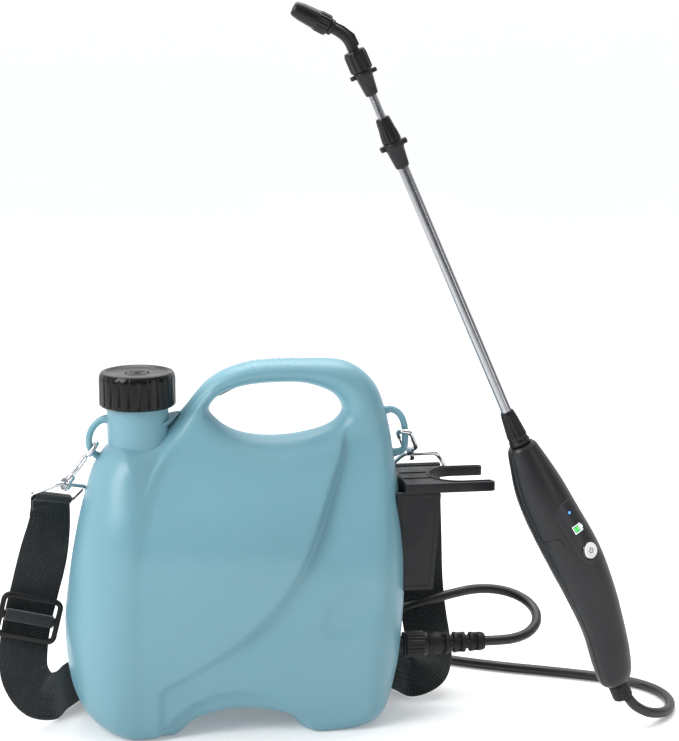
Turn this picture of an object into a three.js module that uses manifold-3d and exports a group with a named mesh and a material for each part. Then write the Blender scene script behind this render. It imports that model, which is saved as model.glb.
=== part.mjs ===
// Five-litre shoulder-strap sprayer: a blow-moulded tank with a carrying window, a filler
// cap, a webbing strap on snap hooks, a fork that holds the wand, and a battery-driven
// pump wand on a hose. Millimetres, +Z up; the tank stands on the plane Z = 0 with its
// mid-plane at Y = 0, and its broad front face looks along -Y.
import * as THREE from 'three';
import { mergeVertices } from 'three/addons/utils/BufferGeometryUtils.js';
import Module from 'manifold-3d';

const wasm = await Module();
wasm.setup();

// ---------- driving dimensions ----------

const GAP = 0.35;                        // clearance between touching pieces
const WELD = 0.002;                      // corners of a cut closer than this become one
const ORIGIN = new THREE.Vector3(-59.3, 11, 0);    // moves the bounding box centre to the origin

const TANK = { half: 57, handleHalf: 17, wall: 2.6, foot: 6 };
const NECK = { x: -71.5, radius: 23.7, bore: 20.5, bottom: 215, top: 275 };
const CAP = { radius: 29.5, height: 26.5, bottom: 254, wall: 2.6 };
const LUG_WIRE = 2.6;

const OUTLET = { x: 127.5, y: -14, z: 55, nut: 10.6, bore: 4.4 };
const HOLDER = { top: 191, height: 78, half: 28.5, fork: 22.5, forkX: 181, tipX: 204, web: 143 };

const WEBBING = { width: 38, thick: 2 };
const HOSE = { radius: 4, coilRadius: 44, coil: [48, 138], coilHalf: 8.5, coilHeight: 15.6 };

const WAND = { top: [212.4, -80, 231.8], lean: 23.5 * Math.PI / 180, panelTurn: 30 * Math.PI / 180 };
const TUBE = { outer: 4, bore: 3.4, inner: 3, core: 2.1 };

// ---------- materials ----------

const finish = (color, roughness, metalness = 0) =>
  new THREE.MeshStandardMaterial({ color, roughness, metalness });
const material = {
  tank: () => finish(0x7fb1c0, 0.42),
  black: () => finish(0x16171a, 0.4),
  gloss: () => finish(0x0c0c0e, 0.2),
  grip: () => finish(0x2d2e32, 0.62),
  rubber: () => finish(0x1b1c1e, 0.8),
  webbing: () => finish(0x14191b, 0.9),
  chrome: () => finish(0xd8dadc, 0.15, 1),
  steel: () => finish(0xc4c6c8, 0.28, 1),
  white: () => finish(0xeeeeec, 0.35),
  green: () => finish(0x50c850, 0.4),
  board: () => finish(0x1f6b3a, 0.5),
  cell: () => finish(0x3f6fb5, 0.45),
  brass: () => finish(0xc2a55a, 0.3, 1),
};

// ---------- geometry helpers ----------

function solid(geometry) {
  const g = geometry.clone();
  g.deleteAttribute('normal');
  g.deleteAttribute('uv');
  const m = mergeVertices(g, 1e-4);
  return new wasm.Manifold(new wasm.Mesh({
    numProp: 3,
    vertProperties: new Float32Array(m.attributes.position.array),
    triVerts: new Uint32Array(m.index.array),
  }));
}

function toGeometry(manifold) {
  const m = manifold.getMesh();
  const points = new Float32Array((m.vertProperties.length / m.numProp) * 3);
  for (let i = 0; i < points.length / 3; i += 1) {
    for (let k = 0; k < 3; k += 1) points[3 * i + k] = m.vertProperties[m.numProp * i + k];
  }
  const cutMesh = new THREE.BufferGeometry();
  cutMesh.setAttribute('position', new THREE.BufferAttribute(points, 3));
  cutMesh.setIndex(new THREE.BufferAttribute(new Uint32Array(m.triVerts), 1));
  const g = mergeVertices(cutMesh, WELD);
  const faces = [];
  for (let i = 0; i < g.index.count; i += 3) {
    const [a, b, c] = g.index.array.slice(i, i + 3);
    if (a !== b && b !== c && c !== a) faces.push(a, b, c);
  }
  g.setIndex(faces);
  g.computeVertexNormals();
  return g;
}

const join = (first, ...rest) => rest.reduce((all, next) => all.add(next), first);
const cut = (first, ...rest) => rest.reduce((all, next) => all.subtract(next), first);

// A solid of revolution about Z from [radius, height] pairs that start and end on the
// axis, or a ring when the outline closes on itself.
function turned(profile, segments = 24) {
  const points = profile.map(([r, z]) => new THREE.Vector2(r, z));
  return new THREE.LatheGeometry(points, segments).rotateX(Math.PI / 2);
}

function rod(radius, from, to, segments = 20) {
  return turned([[0, from], [radius, from], [radius, to], [0, to]], segments);
}

function ring(outer, inner, from, to, segments = 24) {
  return turned([[inner, from], [outer, from], [outer, to], [inner, to], [inner, from]], segments);
}

function box(x0, x1, y0, y1, z0, z1) {
  const g = new THREE.BoxGeometry(x1 - x0, y1 - y0, z1 - z0);
  return g.translate((x0 + x1) / 2, (y0 + y1) / 2, (z0 + z1) / 2);
}

// A prism from an outline in X and Y between two heights.
function prism(points, from, to, holes = []) {
  const shape = new THREE.Shape(points.map(([x, y]) => new THREE.Vector2(x, y)));
  for (const hole of holes) {
    shape.holes.push(new THREE.Path(hole.map(([x, y]) => new THREE.Vector2(x, y))));
  }
  const g = new THREE.ExtrudeGeometry(shape, { depth: to - from, bevelEnabled: false });
  return g.translate(0, 0, from);
}

function circle(radius, x = 0, y = 0, segments = 24) {
  return Array.from({ length: segments }, (_, i) => {
    const a = (2 * Math.PI * i) / segments;
    return [x + radius * Math.cos(a), y + radius * Math.sin(a)];
  });
}

// An outline with round corners, centred on the origin.
function roundedRectangle(width, height, radius, steps = 4) {
  const points = [];
  const corners = [[1, 1, 0], [-1, 1, 1], [-1, -1, 2], [1, -1, 3]];
  for (const [sx, sy, quarter] of corners) {
    for (let i = 0; i <= steps; i += 1) {
      const a = (quarter + i / steps) * (Math.PI / 2);
      points.push([sx * (width / 2 - radius) + radius * Math.cos(a),
        sy * (height / 2 - radius) + radius * Math.sin(a)]);
    }
  }
  return points;
}

// Joins rings of points, each as long as the others, into one closed solid.
function loft(rings) {
  const count = rings[0].length;
  const points = rings.flat();
  const faces = [];
  for (let i = 0; i + 1 < rings.length; i += 1) {
    for (let j = 0; j < count; j += 1) {
      const a = i * count + j;
      const b = i * count + ((j + 1) % count);
      faces.push(a, b, b + count, a, b + count, a + count);
    }
  }
  for (const [end, flip] of [[0, true], [rings.length - 1, false]]) {
    const middle = points.length;
    points.push(rings[end].reduce((sum, p) => sum.add(p), new THREE.Vector3()).divideScalar(count));
    for (let j = 0; j < count; j += 1) {
      const a = end * count + j;
      const b = end * count + ((j + 1) % count);
      faces.push(...(flip ? [middle, b, a] : [middle, a, b]));
    }
  }
  const g = new THREE.BufferGeometry().setFromPoints(points);
  g.setIndex(faces);
  return g;
}

// A round bar along a smooth curve through the points.
function bar(points, radius, sides = 8, stepLength = 4, closed = false) {
  const places = points.map((p) => new THREE.Vector3(...p));
  const curve = new THREE.CatmullRomCurve3(places, closed, 'centripetal');
  const steps = Math.max(2, Math.round(curve.getLength() / stepLength));
  const shape = new THREE.Shape(circle(radius, 0, 0, sides).map(([x, y]) => new THREE.Vector2(x, y)));
  return new THREE.ExtrudeGeometry(shape, { steps, bevelEnabled: false, extrudePath: curve });
}

// Turns a geometry built along +Z so that it starts at a point and runs along a direction.
function along(geometry, start, direction) {
  const turn = new THREE.Quaternion().setFromUnitVectors(
    new THREE.Vector3(0, 0, 1), new THREE.Vector3(...direction).normalize());
  return geometry.applyQuaternion(turn).translate(...start);
}

const smooth = (t) => {
  const u = Math.min(1, Math.max(0, t));
  return u * u * (3 - 2 * u);
};

const object = new THREE.Group();
const bench = new THREE.Group();       // everything in the tank's own frame
bench.position.copy(ORIGIN);
object.add(bench);

function put(parent, name, look, shape) {
  const geometry = shape.isBufferGeometry ? shape : toGeometry(shape);
  const mesh = new THREE.Mesh(geometry, look);
  mesh.name = name;
  parent.add(mesh);
  return mesh;
}

// ---------- tank ----------

// The tank's outline in X and Z, clockwise from the left foot: each point has the
// radius with which the broad faces round into the edge there.
const OUTLINE = [
  [-60, -TANK.foot, 15], [-88, -TANK.foot, 18], [-112, 6, 30], [-126, 30, 42], [-131.5, 78, 46],
  [-128, 115, 46], [-122, 150, 46], [-114, 184, 42], [-104, 212, 36], [-88, 228, 26], [-64, 231, 20],
  [-50, 236, 17], [-36, 251, 17], [-16, 273, 17], [10, 284.5, 17], [55, 287, 17], [92, 283.5, 17],
  [112, 268, 17], [122, 244, 17], [129, 205, 20], [134, 160, 26], [136.5, 118, 32], [134.5, 70, 34],
  [130, 36, 32], [118, 4, 22], [98, -TANK.foot, 18], [54, -TANK.foot, 14], [38, 7, 14],
  [4, 14, 14], [-30, 8, 14], [-46, -TANK.foot + 2, 14],
];
const WINDOW = [
  [-16.5, 250], [-9, 260], [8, 266.5], [34, 269], [62, 267], [82, 257.5], [87.5, 246], [80, 236],
  [58, 228.5], [28, 226.5], [4, 231.5], [-10, 240.5],
];

function closedCurve(points) {
  const curve = new THREE.CatmullRomCurve3(
    points.map(([x, z, r = 17]) => new THREE.Vector3(x, z, r)), true, 'centripetal');
  return curve.getPoints(720).slice(0, -1);
}
const outline = closedCurve(OUTLINE);
const opening = closedCurve(WINDOW);

function nearest(loop, x, z) {
  let best = Infinity;
  let at = null;
  for (const p of loop) {
    const d = (p.x - x) ** 2 + (p.y - z) ** 2;
    if (d < best) { best = d; at = p; }
  }
  return [Math.sqrt(best), at];
}

// The proud middle panel ends on the right along this line, given as [height, x].
const PANEL_EDGE = [[40, -60], [62, -20], [78, 4], [100, 28], [125, 46], [160, 62], [195, 76], [214, 84],
  [250, 92]];
function panelEdge(z) {
  const last = PANEL_EDGE.length - 1;
  if (z <= PANEL_EDGE[0][0]) return PANEL_EDGE[0][1];
  if (z >= PANEL_EDGE[last][0]) return PANEL_EDGE[last][1];
  const i = PANEL_EDGE.findIndex(([height]) => height > z);
  const [[z0, x0], [z1, x1]] = [PANEL_EDGE[i - 1], PANEL_EDGE[i]];
  return x0 + ((x1 - x0) * (z - z0)) / (z1 - z0);
}

// Half of the tank's thickness at a place, before its edges are rounded: the panel and the
// shoulder keep their depth higher up than the band that runs on into the handle.
function halfThickness(x, z) {
  const depth = TANK.half - TANK.handleHalf;
  const panel = TANK.handleHalf + depth * smooth((252 - z) / 115);
  const band = TANK.handleHalf + (depth - 2) * smooth((250 - z) / 165);
  const shoulder = TANK.handleHalf + depth * smooth((286 - z) / 140) * smooth((-30 - x) / 30);
  const share = smooth((panelEdge(z) - x) / 16 + 0.5);
  return Math.max(band + (panel - band) * share, shoulder);
}

const SPREAD = 0.5;     // how far the rows follow the outline's own angle, and not even steps
const SIDES = 52;
const ROWS = 8;
const EDGE_STEPS = [0, 1.3, 5, 14];      // rows close to the window and to the rim, in mm

// The rounded tank as a closed surface between the outline and the window. Every corner
// is moved square to the surface by the offset, outwards when it is positive.
function tankSurface(offset) {
  const centre = new THREE.Vector2(34, 247);
  const angleOf = (p) => Math.atan2(p.y - centre.y, p.x - centre.x);
  const between = (a, b) => Math.atan2(Math.sin(a - b), Math.cos(a - b));
  const round = (d, r) => (d >= r ? 1 : (1 - (1 - d / r) ** 2.1) ** (1 / 2.1));
  const points = [];
  const start = angleOf(outline[0]);
  let turn = 0;
  let before = start;
  for (let i = 0; i < SIDES; i += 1) {
    const out = outline[Math.round((i * outline.length) / SIDES)];
    turn += between(angleOf(out), before);
    before = angleOf(out);
    const aim = start + SPREAD * turn - (1 - SPREAD) * ((2 * Math.PI * i) / SIDES);
    const near = opening.reduce((best, p) =>
      (Math.abs(between(angleOf(p), aim)) < Math.abs(between(angleOf(best), aim)) ? p : best));
    const length = Math.hypot(out.x - near.x, out.y - near.y);
    const ends = EDGE_STEPS.map((step) => (step * Math.min(1, length / 60)) / length);
    const shares = [...ends, 0.5, ...ends.map((share) => 1 - share).reverse()];
    for (const [j, share] of shares.entries()) {
      const x = near.x + (out.x - near.x) * share;
      const z = near.y + (out.y - near.y) * share;
      const [toRim, edge] = nearest(outline, x, z);
      const [toWindow] = nearest(opening, x, z);
      const rounding = round(toRim, edge.z) * round(toWindow, 17);
      points.push([x, j % ROWS === 0 ? 0 : halfThickness(x, z) * rounding, z]);
    }
  }
  const faces = [];
  const stride = ROWS + 1;
  for (let i = 0; i < SIDES; i += 1) {
    const k = (i + 1) % SIDES;
    for (let j = 0; j < ROWS; j += 1) {
      const [a, b, c, d] = [i * stride + j, k * stride + j, k * stride + j + 1, i * stride + j + 1];
      const s = points.length;
      faces.push(a, b, c, a, c, d, a + s, c + s, b + s, a + s, d + s, c + s);
    }
  }
  const both = [...points.map(([x, y, z]) => new THREE.Vector3(x, -y, z)),
    ...points.map(([x, y, z]) => new THREE.Vector3(x, y, z))];
  let g = new THREE.BufferGeometry().setFromPoints(both);
  g.setIndex(faces);
  g = mergeVertices(g);
  g.computeVertexNormals();
  const place = g.attributes.position;
  const normal = g.attributes.normal;
  for (let i = 0; i < place.count; i += 1) {
    place.setXYZ(i, place.getX(i) + offset * normal.getX(i), place.getY(i) + offset * normal.getY(i),
      place.getZ(i) + offset * normal.getZ(i));
  }
  return g;
}

const belowFloor = () => solid(box(-400, 400, -300, 300, -60, 0));
const tankShell = solid(tankSurface(0));
const tankSkin = solid(tankSurface(GAP));     // for trimming what touches the tank

function tank() {
  const hollow = solid(tankSurface(-TANK.wall))
    .subtract(solid(box(-400, 400, -300, 300, -60, TANK.wall)))
    .subtract(solid(box(-86, 4, -60, 60, 224, 290)));    // the root of the handle is solid
  const neck = solid(rod(NECK.radius, NECK.bottom, NECK.top, 30).translate(NECK.x, 0, 0));
  const bore = solid(rod(NECK.bore, NECK.bottom - 12, NECK.top + 2, 28).translate(NECK.x, 0, 0));
  const outlet = solid(along(rod(7.4, -14, 14, 16), [OUTLET.x, OUTLET.y, OUTLET.z], [1, 0, 0]));
  return cut(tankShell.add(neck), belowFloor(), hollow, bore, outlet);
}
put(bench, 'tank', material.tank(), tank());

// Trims a piece that rests against the tank's side.
const againstTank = (shape) => solid(shape).subtract(tankSkin);

// The strap lugs are moulded loops, each ending in the tank's shoulder or side.
function lug(points) {
  return againstTank(bar(points, LUG_WIRE, 8, 6));
}
put(bench, 'strap_lug_left', material.tank(), lug([[-93, 0, 243.5], [-99, 0, 243], [-105.5, 0, 238],
  [-109, 0, 230.5], [-109, 0, 222], [-105, 0, 216], [-98, 0, 213]])
  .subtract(solid(rod(NECK.radius + GAP, 200, 280, 32).translate(NECK.x, 0, 0))));
put(bench, 'strap_lug_right', material.tank(), lug([[118, 0, 243], [127, 0, 244.5], [133, 0, 241],
  [137, 0, 233], [138, 0, 222], [136.5, 0, 212], [126, 0, 209]]));

// ---------- filler cap ----------

const cap = new THREE.Group();
cap.position.set(NECK.x, 0, CAP.bottom);
bench.add(cap);

const ventBore = 3.4;
put(cap, 'cap', material.gloss(), cut(
  solid(turned([[0, 0], [CAP.radius, 0], [CAP.radius, CAP.height - 1.6], [CAP.radius - 2, CAP.height],
    [CAP.radius - 5, CAP.height], [CAP.radius - 6.5, CAP.height - 1], [0, CAP.height - 1]], 36)),
  solid(rod(NECK.radius + 1.2, -1, CAP.height - CAP.wall - 1.2, 28)),
  solid(rod(ventBore + GAP, 10, 40, 16))));
put(cap, 'cap_gasket', material.rubber(), ring(NECK.radius, NECK.bore - 1,
  NECK.top - CAP.bottom + GAP, CAP.height - CAP.wall - 1.2 - GAP, 24));
put(cap, 'vent_valve', material.rubber(), turned([[0, CAP.height - 8], [6, CAP.height - 7.6],
  [6, CAP.height - 6.2], [ventBore, CAP.height - 6], [ventBore, CAP.height - 1.6], [1.6, CAP.height - 1.6],
  [1.2, CAP.height - 4], [0, CAP.height - 4]], 16));

// ---------- tank outlet and its nut ----------

const outlet = new THREE.Group();
outlet.position.set(OUTLET.x, OUTLET.y, OUTLET.z);
outlet.rotation.y = Math.PI / 2;           // the group's +Z runs out of the tank along +X
bench.add(outlet);

put(outlet, 'outlet_fitting', material.black(), cut(
  solid(turned([[0, -16], [9.5, -16], [9.5, -12], [7, -12], [7, 23], [0, 23]], 16)),
  solid(rod(3, -20, 30, 10))));
put(outlet, 'outlet_seal', material.rubber(), ring(10.2, 7.4, 7.4, 8.4, 18));
put(outlet, 'inlet_strainer', material.steel(), cut(
  solid(rod(6.5, -34, -16 - GAP, 16)), solid(rod(5.6, -33, -15, 16))));
put(outlet, 'outlet_nut', material.black(), cut(
  solid(turned([[0, 8.8], [OUTLET.nut, 8.8], [OUTLET.nut, 25], [OUTLET.nut - 1.2, 27], [0, 27]], 20)),
  solid(rod(7.3, 0, 24.5, 18)), solid(rod(OUTLET.bore + 0.5, 20, 40, 16))));
function strainRelief() {
  const profile = [[0, 27.4], [8.6, 27.4], [8.8, 37]];
  for (let i = 0; i < 5; i += 1) {
    const z = 39.6 + i * 6.6;
    const r = 8.8 - 0.25 * i;
    profile.push([r - 2.2, z], [r - 2.2, z + 1.8], [r, z + 2.2], [r, z + 5.4]);
  }
  profile.push([5.8, 73.5], [0, 73.5]);
  return cut(solid(turned(profile, 12)), solid(rod(OUTLET.bore, 20, 80, 8)));
}
put(outlet, 'strain_relief', material.rubber(), strainRelief());

// ---------- wand holder ----------

const SCREW_HEIGHTS = [170, 122];
function holder() {
  const { top, height, half, fork, forkX, tipX } = HOLDER;
  const thick = 8.5;
  const plan = [[128, -half], [forkX, -half], [tipX, -half + 0.5], [tipX + 1, -half + 3],
    [tipX, -fork], [forkX, -fork]];
  for (let i = 1; i < 12; i += 1) {
    const a = -Math.PI / 2 - (Math.PI * i) / 12;
    plan.push([forkX + fork * Math.cos(a), fork * Math.sin(a)]);
  }
  plan.push([forkX, fork], [tipX, fork], [tipX + 1, half - 3], [tipX, half - 0.5], [forkX, half],
    [128, half]);
  const arm = solid(prism(plan, top - thick, top));
  const flange = (y) => {
    const side = [[126, top - thick + 1], [162, top - thick + 1], [156, top - height - thick],
      [126, top - height - thick]];
    return solid(prism(side, 0, 3.4).rotateX(Math.PI / 2).translate(0, y, 0));
  };
  const web = solid(box(126, HOLDER.web, -half, half, top - height - thick, top - thick + 1));
  const holes = SCREW_HEIGHTS.map((z) =>
    solid(along(rod(1.9, -16, 8, 12), [HOLDER.web, 0, z], [1, 0, 0])));
  return cut(join(arm, flange(-half + 3.4), flange(half), web), tankSkin, ...holes);
}
put(bench, 'wand_holder', material.black(), holder());
for (const [i, name] of ['holder_screw_upper', 'holder_screw_lower'].entries()) {
  const screw = turned([[0, -5.4], [1.5, -5.4], [1.5, GAP], [3.6, GAP], [3.4, 1.6], [2.2, 2.4],
    [0, 2.6]], 12);
  put(bench, name, material.steel(), along(screw, [HOLDER.web, 0, SCREW_HEIGHTS[i]], [1, 0, 0]));
}

// ---------- shoulder strap ----------

// The webbing's centre line, each point with the direction of the webbing's width.
const STRAP = [
  [[-139.3, 18.2, 174.5], [0.7, 0.65, -0.28]], [[-142.5, 14.5, 153], [0.84, 0.42, -0.29]],
  [[-147.7, 8.2, 131.5], [0.955, 0.12, -0.27]], [[-153.9, 4.6, 108.8], [0.955, 0.12, -0.27]],
  [[-160.1, 1, 86], [0.955, 0.12, -0.27]], [[-164, -4, 64], [0.96, 0.12, -0.24]],
  [[-163.5, -9, 43], [0.92, 0.3, 0.25]], [[-154, -9, 27], [0.65, 0.35, 0.68]],
  [[-141, 2, 20.5], [0, 0.12, 0.99]], [[-132, 24, 19.8], [0, 0.05, 1]], [[-113, 52, 19.8], [0, 0, 1]],
  [[-80, 70, 19.8], [0, 0, 1]], [[-30, 79, 19.8], [0, 0, 1]], [[30, 79, 19.8], [0, 0, 1]],
  [[82, 73, 19.8], [0, 0, 1]], [[117, 56, 19.8], [0, 0, 1]], [[136, 30, 19.8], [0, 0, 1]],
  [[147, 13, 20.5], [0, 0.12, 0.99]], [[159, 13, 26], [-0.65, 0.35, 0.68]],
  [[164.5, 28, 35], [-0.95, 0.2, 0.3]], [[165, 46, 47], [-1, 0, 0]], [[163.5, 53, 62], [-1, 0, 0]],
  [[161, 53, 85], [-1, 0, 0]], [[158, 46, 130], [-1, 0, 0]], [[154.5, 37.5, 183.5], [-1, 0, 0]],
];
const TUNNEL = { up: 3.4, bore: 2.3, outer: 4.1 };      // the sewn end round a ring's bar

const vector = (p) => new THREE.Vector3(...p);

// A quaternion whose X runs along the width and whose Y runs nearly along the length.
function facing(width, length) {
  const x = vector(width).normalize();
  const y = vector(length).addScaledVector(x, -vector(length).dot(x)).normalize();
  const z = new THREE.Vector3().crossVectors(x, y);
  return new THREE.Quaternion().setFromRotationMatrix(new THREE.Matrix4().makeBasis(x, y, z));
}

// A flat band of webbing: rings of four corners along the centre line.
function band(stations, steps) {
  const centre = new THREE.CatmullRomCurve3(stations.map(([p]) => vector(p)));
  const across = new THREE.CatmullRomCurve3(stations.map(([, w]) => vector(w)));
  const rings = [];
  for (let i = 0; i <= steps; i += 1) {
    const middle = centre.getPoint(i / steps);
    const tangent = centre.getTangent(i / steps);
    const width = across.getPoint(i / steps);
    width.addScaledVector(tangent, -width.dot(tangent)).normalize();
    const face = new THREE.Vector3().crossVectors(tangent, width);
    rings.push([[1, 1], [-1, 1], [-1, -1], [1, -1]].map(([u, v]) => middle.clone()
      .addScaledVector(width, (u * WEBBING.width) / 2).addScaledVector(face, (v * WEBBING.thick) / 2)));
  }
  return solid(loft(rings));
}

// A cylinder across the webbing, where its end is folded round a bar.
function acrossWebbing([place, width], radius, extra) {
  const side = vector(width).normalize();
  const start = vector(place).addScaledVector(side, -WEBBING.width / 2 - extra);
  start.z += TUNNEL.up;
  return solid(along(rod(radius, 0, WEBBING.width + 2 * extra, 14), start.toArray(), side.toArray()));
}
const strapEnds = [STRAP[0], STRAP[STRAP.length - 1]];
put(bench, 'strap_webbing', material.webbing(), cut(
  join(band(STRAP, 54), ...strapEnds.map((end) => acrossWebbing(end, TUNNEL.outer, 0))),
  ...strapEnds.map((end) => acrossWebbing(end, TUNNEL.bore, 2))));

// The three-bar slide: a frame round two slots, with the webbing's free end sewn round the
// middle bar, all of it in front of the long run of webbing.
const adjuster = new THREE.Group();
adjuster.position.set(-159.5, -3.7, 87.7);
adjuster.quaternion.copy(facing([0.955, 0.12, -0.27], [0.26, 0.152, 0.954]));
bench.add(adjuster);
const slot = (low, high) => roundedRectangle(41, high - low, 2.5, 2)
  .map(([x, y]) => [x, y + (low + high) / 2]).reverse();
put(adjuster, 'strap_adjuster', material.black(),
  prism(roundedRectangle(49, 36, 7, 3), 0, 4, [slot(2, 13.5), slot(-13.5, -2)]));
const loopSection = roundedRectangle(9.2, 9, 3, 3);
const loopBore = roundedRectangle(5, 5, 0.3, 1).reverse();
put(adjuster, 'adjuster_loop', material.webbing(),
  prism(loopSection, -WEBBING.width / 2, WEBBING.width / 2, [loopBore]).rotateY(Math.PI / 2)
    .translate(0, 0, 2));

// ---------- rings and snap hooks ----------

// A closed loop of round wire through the points.
function wireLoop(points, radius, sides, steps) {
  const curve = new THREE.CatmullRomCurve3(points.map(vector), true, 'centripetal');
  const frames = curve.computeFrenetFrames(steps, true);
  const corners = [];
  for (let i = 0; i < steps; i += 1) {
    const middle = curve.getPointAt(i / steps);
    for (let j = 0; j < sides; j += 1) {
      const a = (2 * Math.PI * j) / sides;
      corners.push(middle.clone().addScaledVector(frames.normals[i], radius * Math.cos(a))
        .addScaledVector(frames.binormals[i], radius * Math.sin(a)));
    }
  }
  const faces = [];
  for (let i = 0; i < steps; i += 1) {
    for (let j = 0; j < sides; j += 1) {
      const [a, b] = [i * sides + j, i * sides + ((j + 1) % sides)];
      const [c, d] = [((i + 1) % steps) * sides + j, ((i + 1) % steps) * sides + ((j + 1) % sides)];
      faces.push(a, b, d, a, d, c);
    }
  }
  const g = new THREE.BufferGeometry().setFromPoints(corners);
  g.setIndex(faces);
  return g;
}

const RING = { wire: 1.6, half: 22.4 };
const HOOK = { wire: 1.9, eye: 34.8, half: 5.4 };   // ring bar to lug, and the eye's half width

// One end of the strap: its ring, and the hook with its spring gate. The hook runs from the
// ring's upper bar to the lug; the ring hangs between that bar and the webbing's tunnel.
function strapFitting(side, lugPoint, barPoint, end) {
  const tunnel = vector(end[0]);
  tunnel.z += TUNNEL.up;
  const drop = vector(barPoint).sub(tunnel);
  const ringGroup = new THREE.Group();
  ringGroup.position.copy(tunnel);
  ringGroup.quaternion.copy(facing(end[1], drop.toArray()));
  bench.add(ringGroup);
  const shift = drop.dot(vector(end[1]).normalize());
  const h = Math.sqrt(drop.lengthSq() - shift ** 2);
  const w = RING.half;
  put(ringGroup, `strap_ring_${side}`, material.chrome(), wireLoop([[-w + 2, 0, 0], [-10, 0, 0], [10, 0, 0],
    [w - 2, 0, 0], [w, 2, 0], [w - 3.5, h / 2, 0], [w - 8, h - 2.5, 0], [11.5, h, 0], [5, h, 0], [-5, h, 0],
    [-11.5, h, 0], [-w + 8, h - 2.5, 0], [-w + 3.5, h / 2, 0], [-w, 2, 0]], RING.wire, 7, 34));

  // In the hook's own frame Y runs from the ring's bar to the lug, and the eye opens along X.
  const hook = new THREE.Group();
  const reach = vector(lugPoint).sub(vector(barPoint));
  hook.position.set(...barPoint);
  const away = side === 'left' ? [0, 1, 0] : [0.93, -0.37, 0];
  hook.quaternion.copy(facing(away, reach.toArray()));
  bench.add(hook);
  const { eye, half, wire } = HOOK;
  const spine = solid(bar([[0, 5.5, 0], [2.4, 9, 0], [half, 13, 0], [half, eye - 6, 0], [half, eye, 0],
    [half * 0.7, eye + half * 0.75, 0], [0, eye + half, 0], [-half * 0.7, eye + half * 0.75, 0],
    [-half, eye, 0], [-half, eye - 5.5, 0]], wire, 8, 2.8));
  const barrel = solid(along(rod(3.2, 3.8, 8.4, 14), [0, 0, 0], [0, 1, 0]));
  const swivel = solid(along(ring(5.2, 2.2, -1.6, 1.6, 16), [0, 0, 0],
    vector(end[1]).applyQuaternion(hook.quaternion.clone().invert()).toArray()));
  put(hook, `snap_hook_${side}`, material.chrome(), join(spine, barrel, swivel));
  put(hook, `snap_gate_${side}`, material.chrome(), bar([[-3.4, 10.2, 0], [-4.4, 12.5, 0],
    [-half, 17, 0], [-half, eye - 6 - GAP - wire, 0]], 1.1, 8, 3));
}
strapFitting('left', [-107.6, 0, 219.5], [-128, 0, 192.9], STRAP[0]);
strapFitting('right', [138, 0, 223], [147.5, 24, 202], STRAP[STRAP.length - 1]);

// ---------- wand ----------

const wand = new THREE.Group();           // its +Z runs up the tube from the grip's upper rim
wand.position.set(...WAND.top);
wand.rotation.y = -WAND.lean;
bench.add(wand);

// The grip's radius and its bow towards +X at distances below the upper rim.
const GRIP = [[0, 11, 0], [16, 14.6, 0], [35, 18.3, 0], [60, 20.3, 1.2], [97, 21.2, 4.4], [130, 19.2, 5.3],
  [160, 16.7, 4], [188, 15.5, 0], [202, 13.4, -2.4], [208, 10.6, -3.2]];
const [GRIP_LENGTH, FOOT_RADIUS, FOOT_BOW] = GRIP[GRIP.length - 1];
const gripCurve = new THREE.CatmullRomCurve3(GRIP.map(vector));
function gripAt(depth) {
  if (depth <= 0) return { radius: GRIP[0][1], bow: 0 };
  if (depth >= GRIP_LENGTH) return { radius: FOOT_RADIUS, bow: FOOT_BOW };
  const first = GRIP.findIndex(([d]) => d > depth) - 1;
  const share = (depth - GRIP[first][0]) / (GRIP[first + 1][0] - GRIP[first][0]);
  const p = gripCurve.getPoint((first + share) / (GRIP.length - 1));
  return { radius: p.y, bow: p.z };
}
function gripBody(offset, overrun = 0, sides = 18, rows = 11) {
  const rings = [];
  for (let i = 0; i <= rows; i += 1) {
    const depth = (GRIP_LENGTH * i) / rows;
    const { radius, bow } = gripAt(depth);
    const z = i === 0 ? overrun : (i === rows ? -depth - overrun : -depth);
    rings.push(circle(radius + offset, bow, 0, sides).map(([x, y]) => new THREE.Vector3(x, y, z)));
  }
  return solid(loft(rings.reverse()));
}

// Places a shape built with +Z outwards and +Y up the wand on the grip's centre line, turned
// by an angle from the front.
function onGrip(geometry, angle, depth) {
  const x = new THREE.Vector3(Math.cos(angle), Math.sin(angle), 0);
  const z = new THREE.Vector3(Math.sin(angle), -Math.cos(angle), 0);
  geometry.applyMatrix4(new THREE.Matrix4().makeBasis(x, new THREE.Vector3(0, 0, 1), z));
  return geometry.translate(gripAt(depth).bow, 0, -depth);
}

const WALL = 2.4;
const turnTo = WAND.panelTurn;
const halfSpace = (side) => {
  const low = side === 'front' ? GAP / 2 : -80;
  const high = side === 'front' ? 80 : -GAP / 2;
  const g = onGrip(box(-80, 80, -240, 40, low, high), turnTo, 0);
  return solid(g.translate(2, 0, 0));
};
const gripShell = cut(gripBody(0), gripBody(-WALL, 2, 18, 11));
const PANEL = { depth: 77, width: 23, length: 53, proud: 0.7, sunk: 1.1 };
const panelPrism = (grow) => solid(onGrip(prism(roundedRectangle(PANEL.width + 2 * grow,
  PANEL.length + 2 * grow, PANEL.width / 2 + grow - 0.1, 4), 12, 30), turnTo, PANEL.depth));
const BUTTON = { depth: 93, radius: 6.2, low: 20.75, high: 23.1, stem: 2.2, stemEnd: 18.6 };
const SCREWS = [[9.2, 20], [12.6, 122], [0, 178]];      // across the grip, and down from the rim
const USB = { angle: -35 * Math.PI / 180, depth: 78 };

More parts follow.
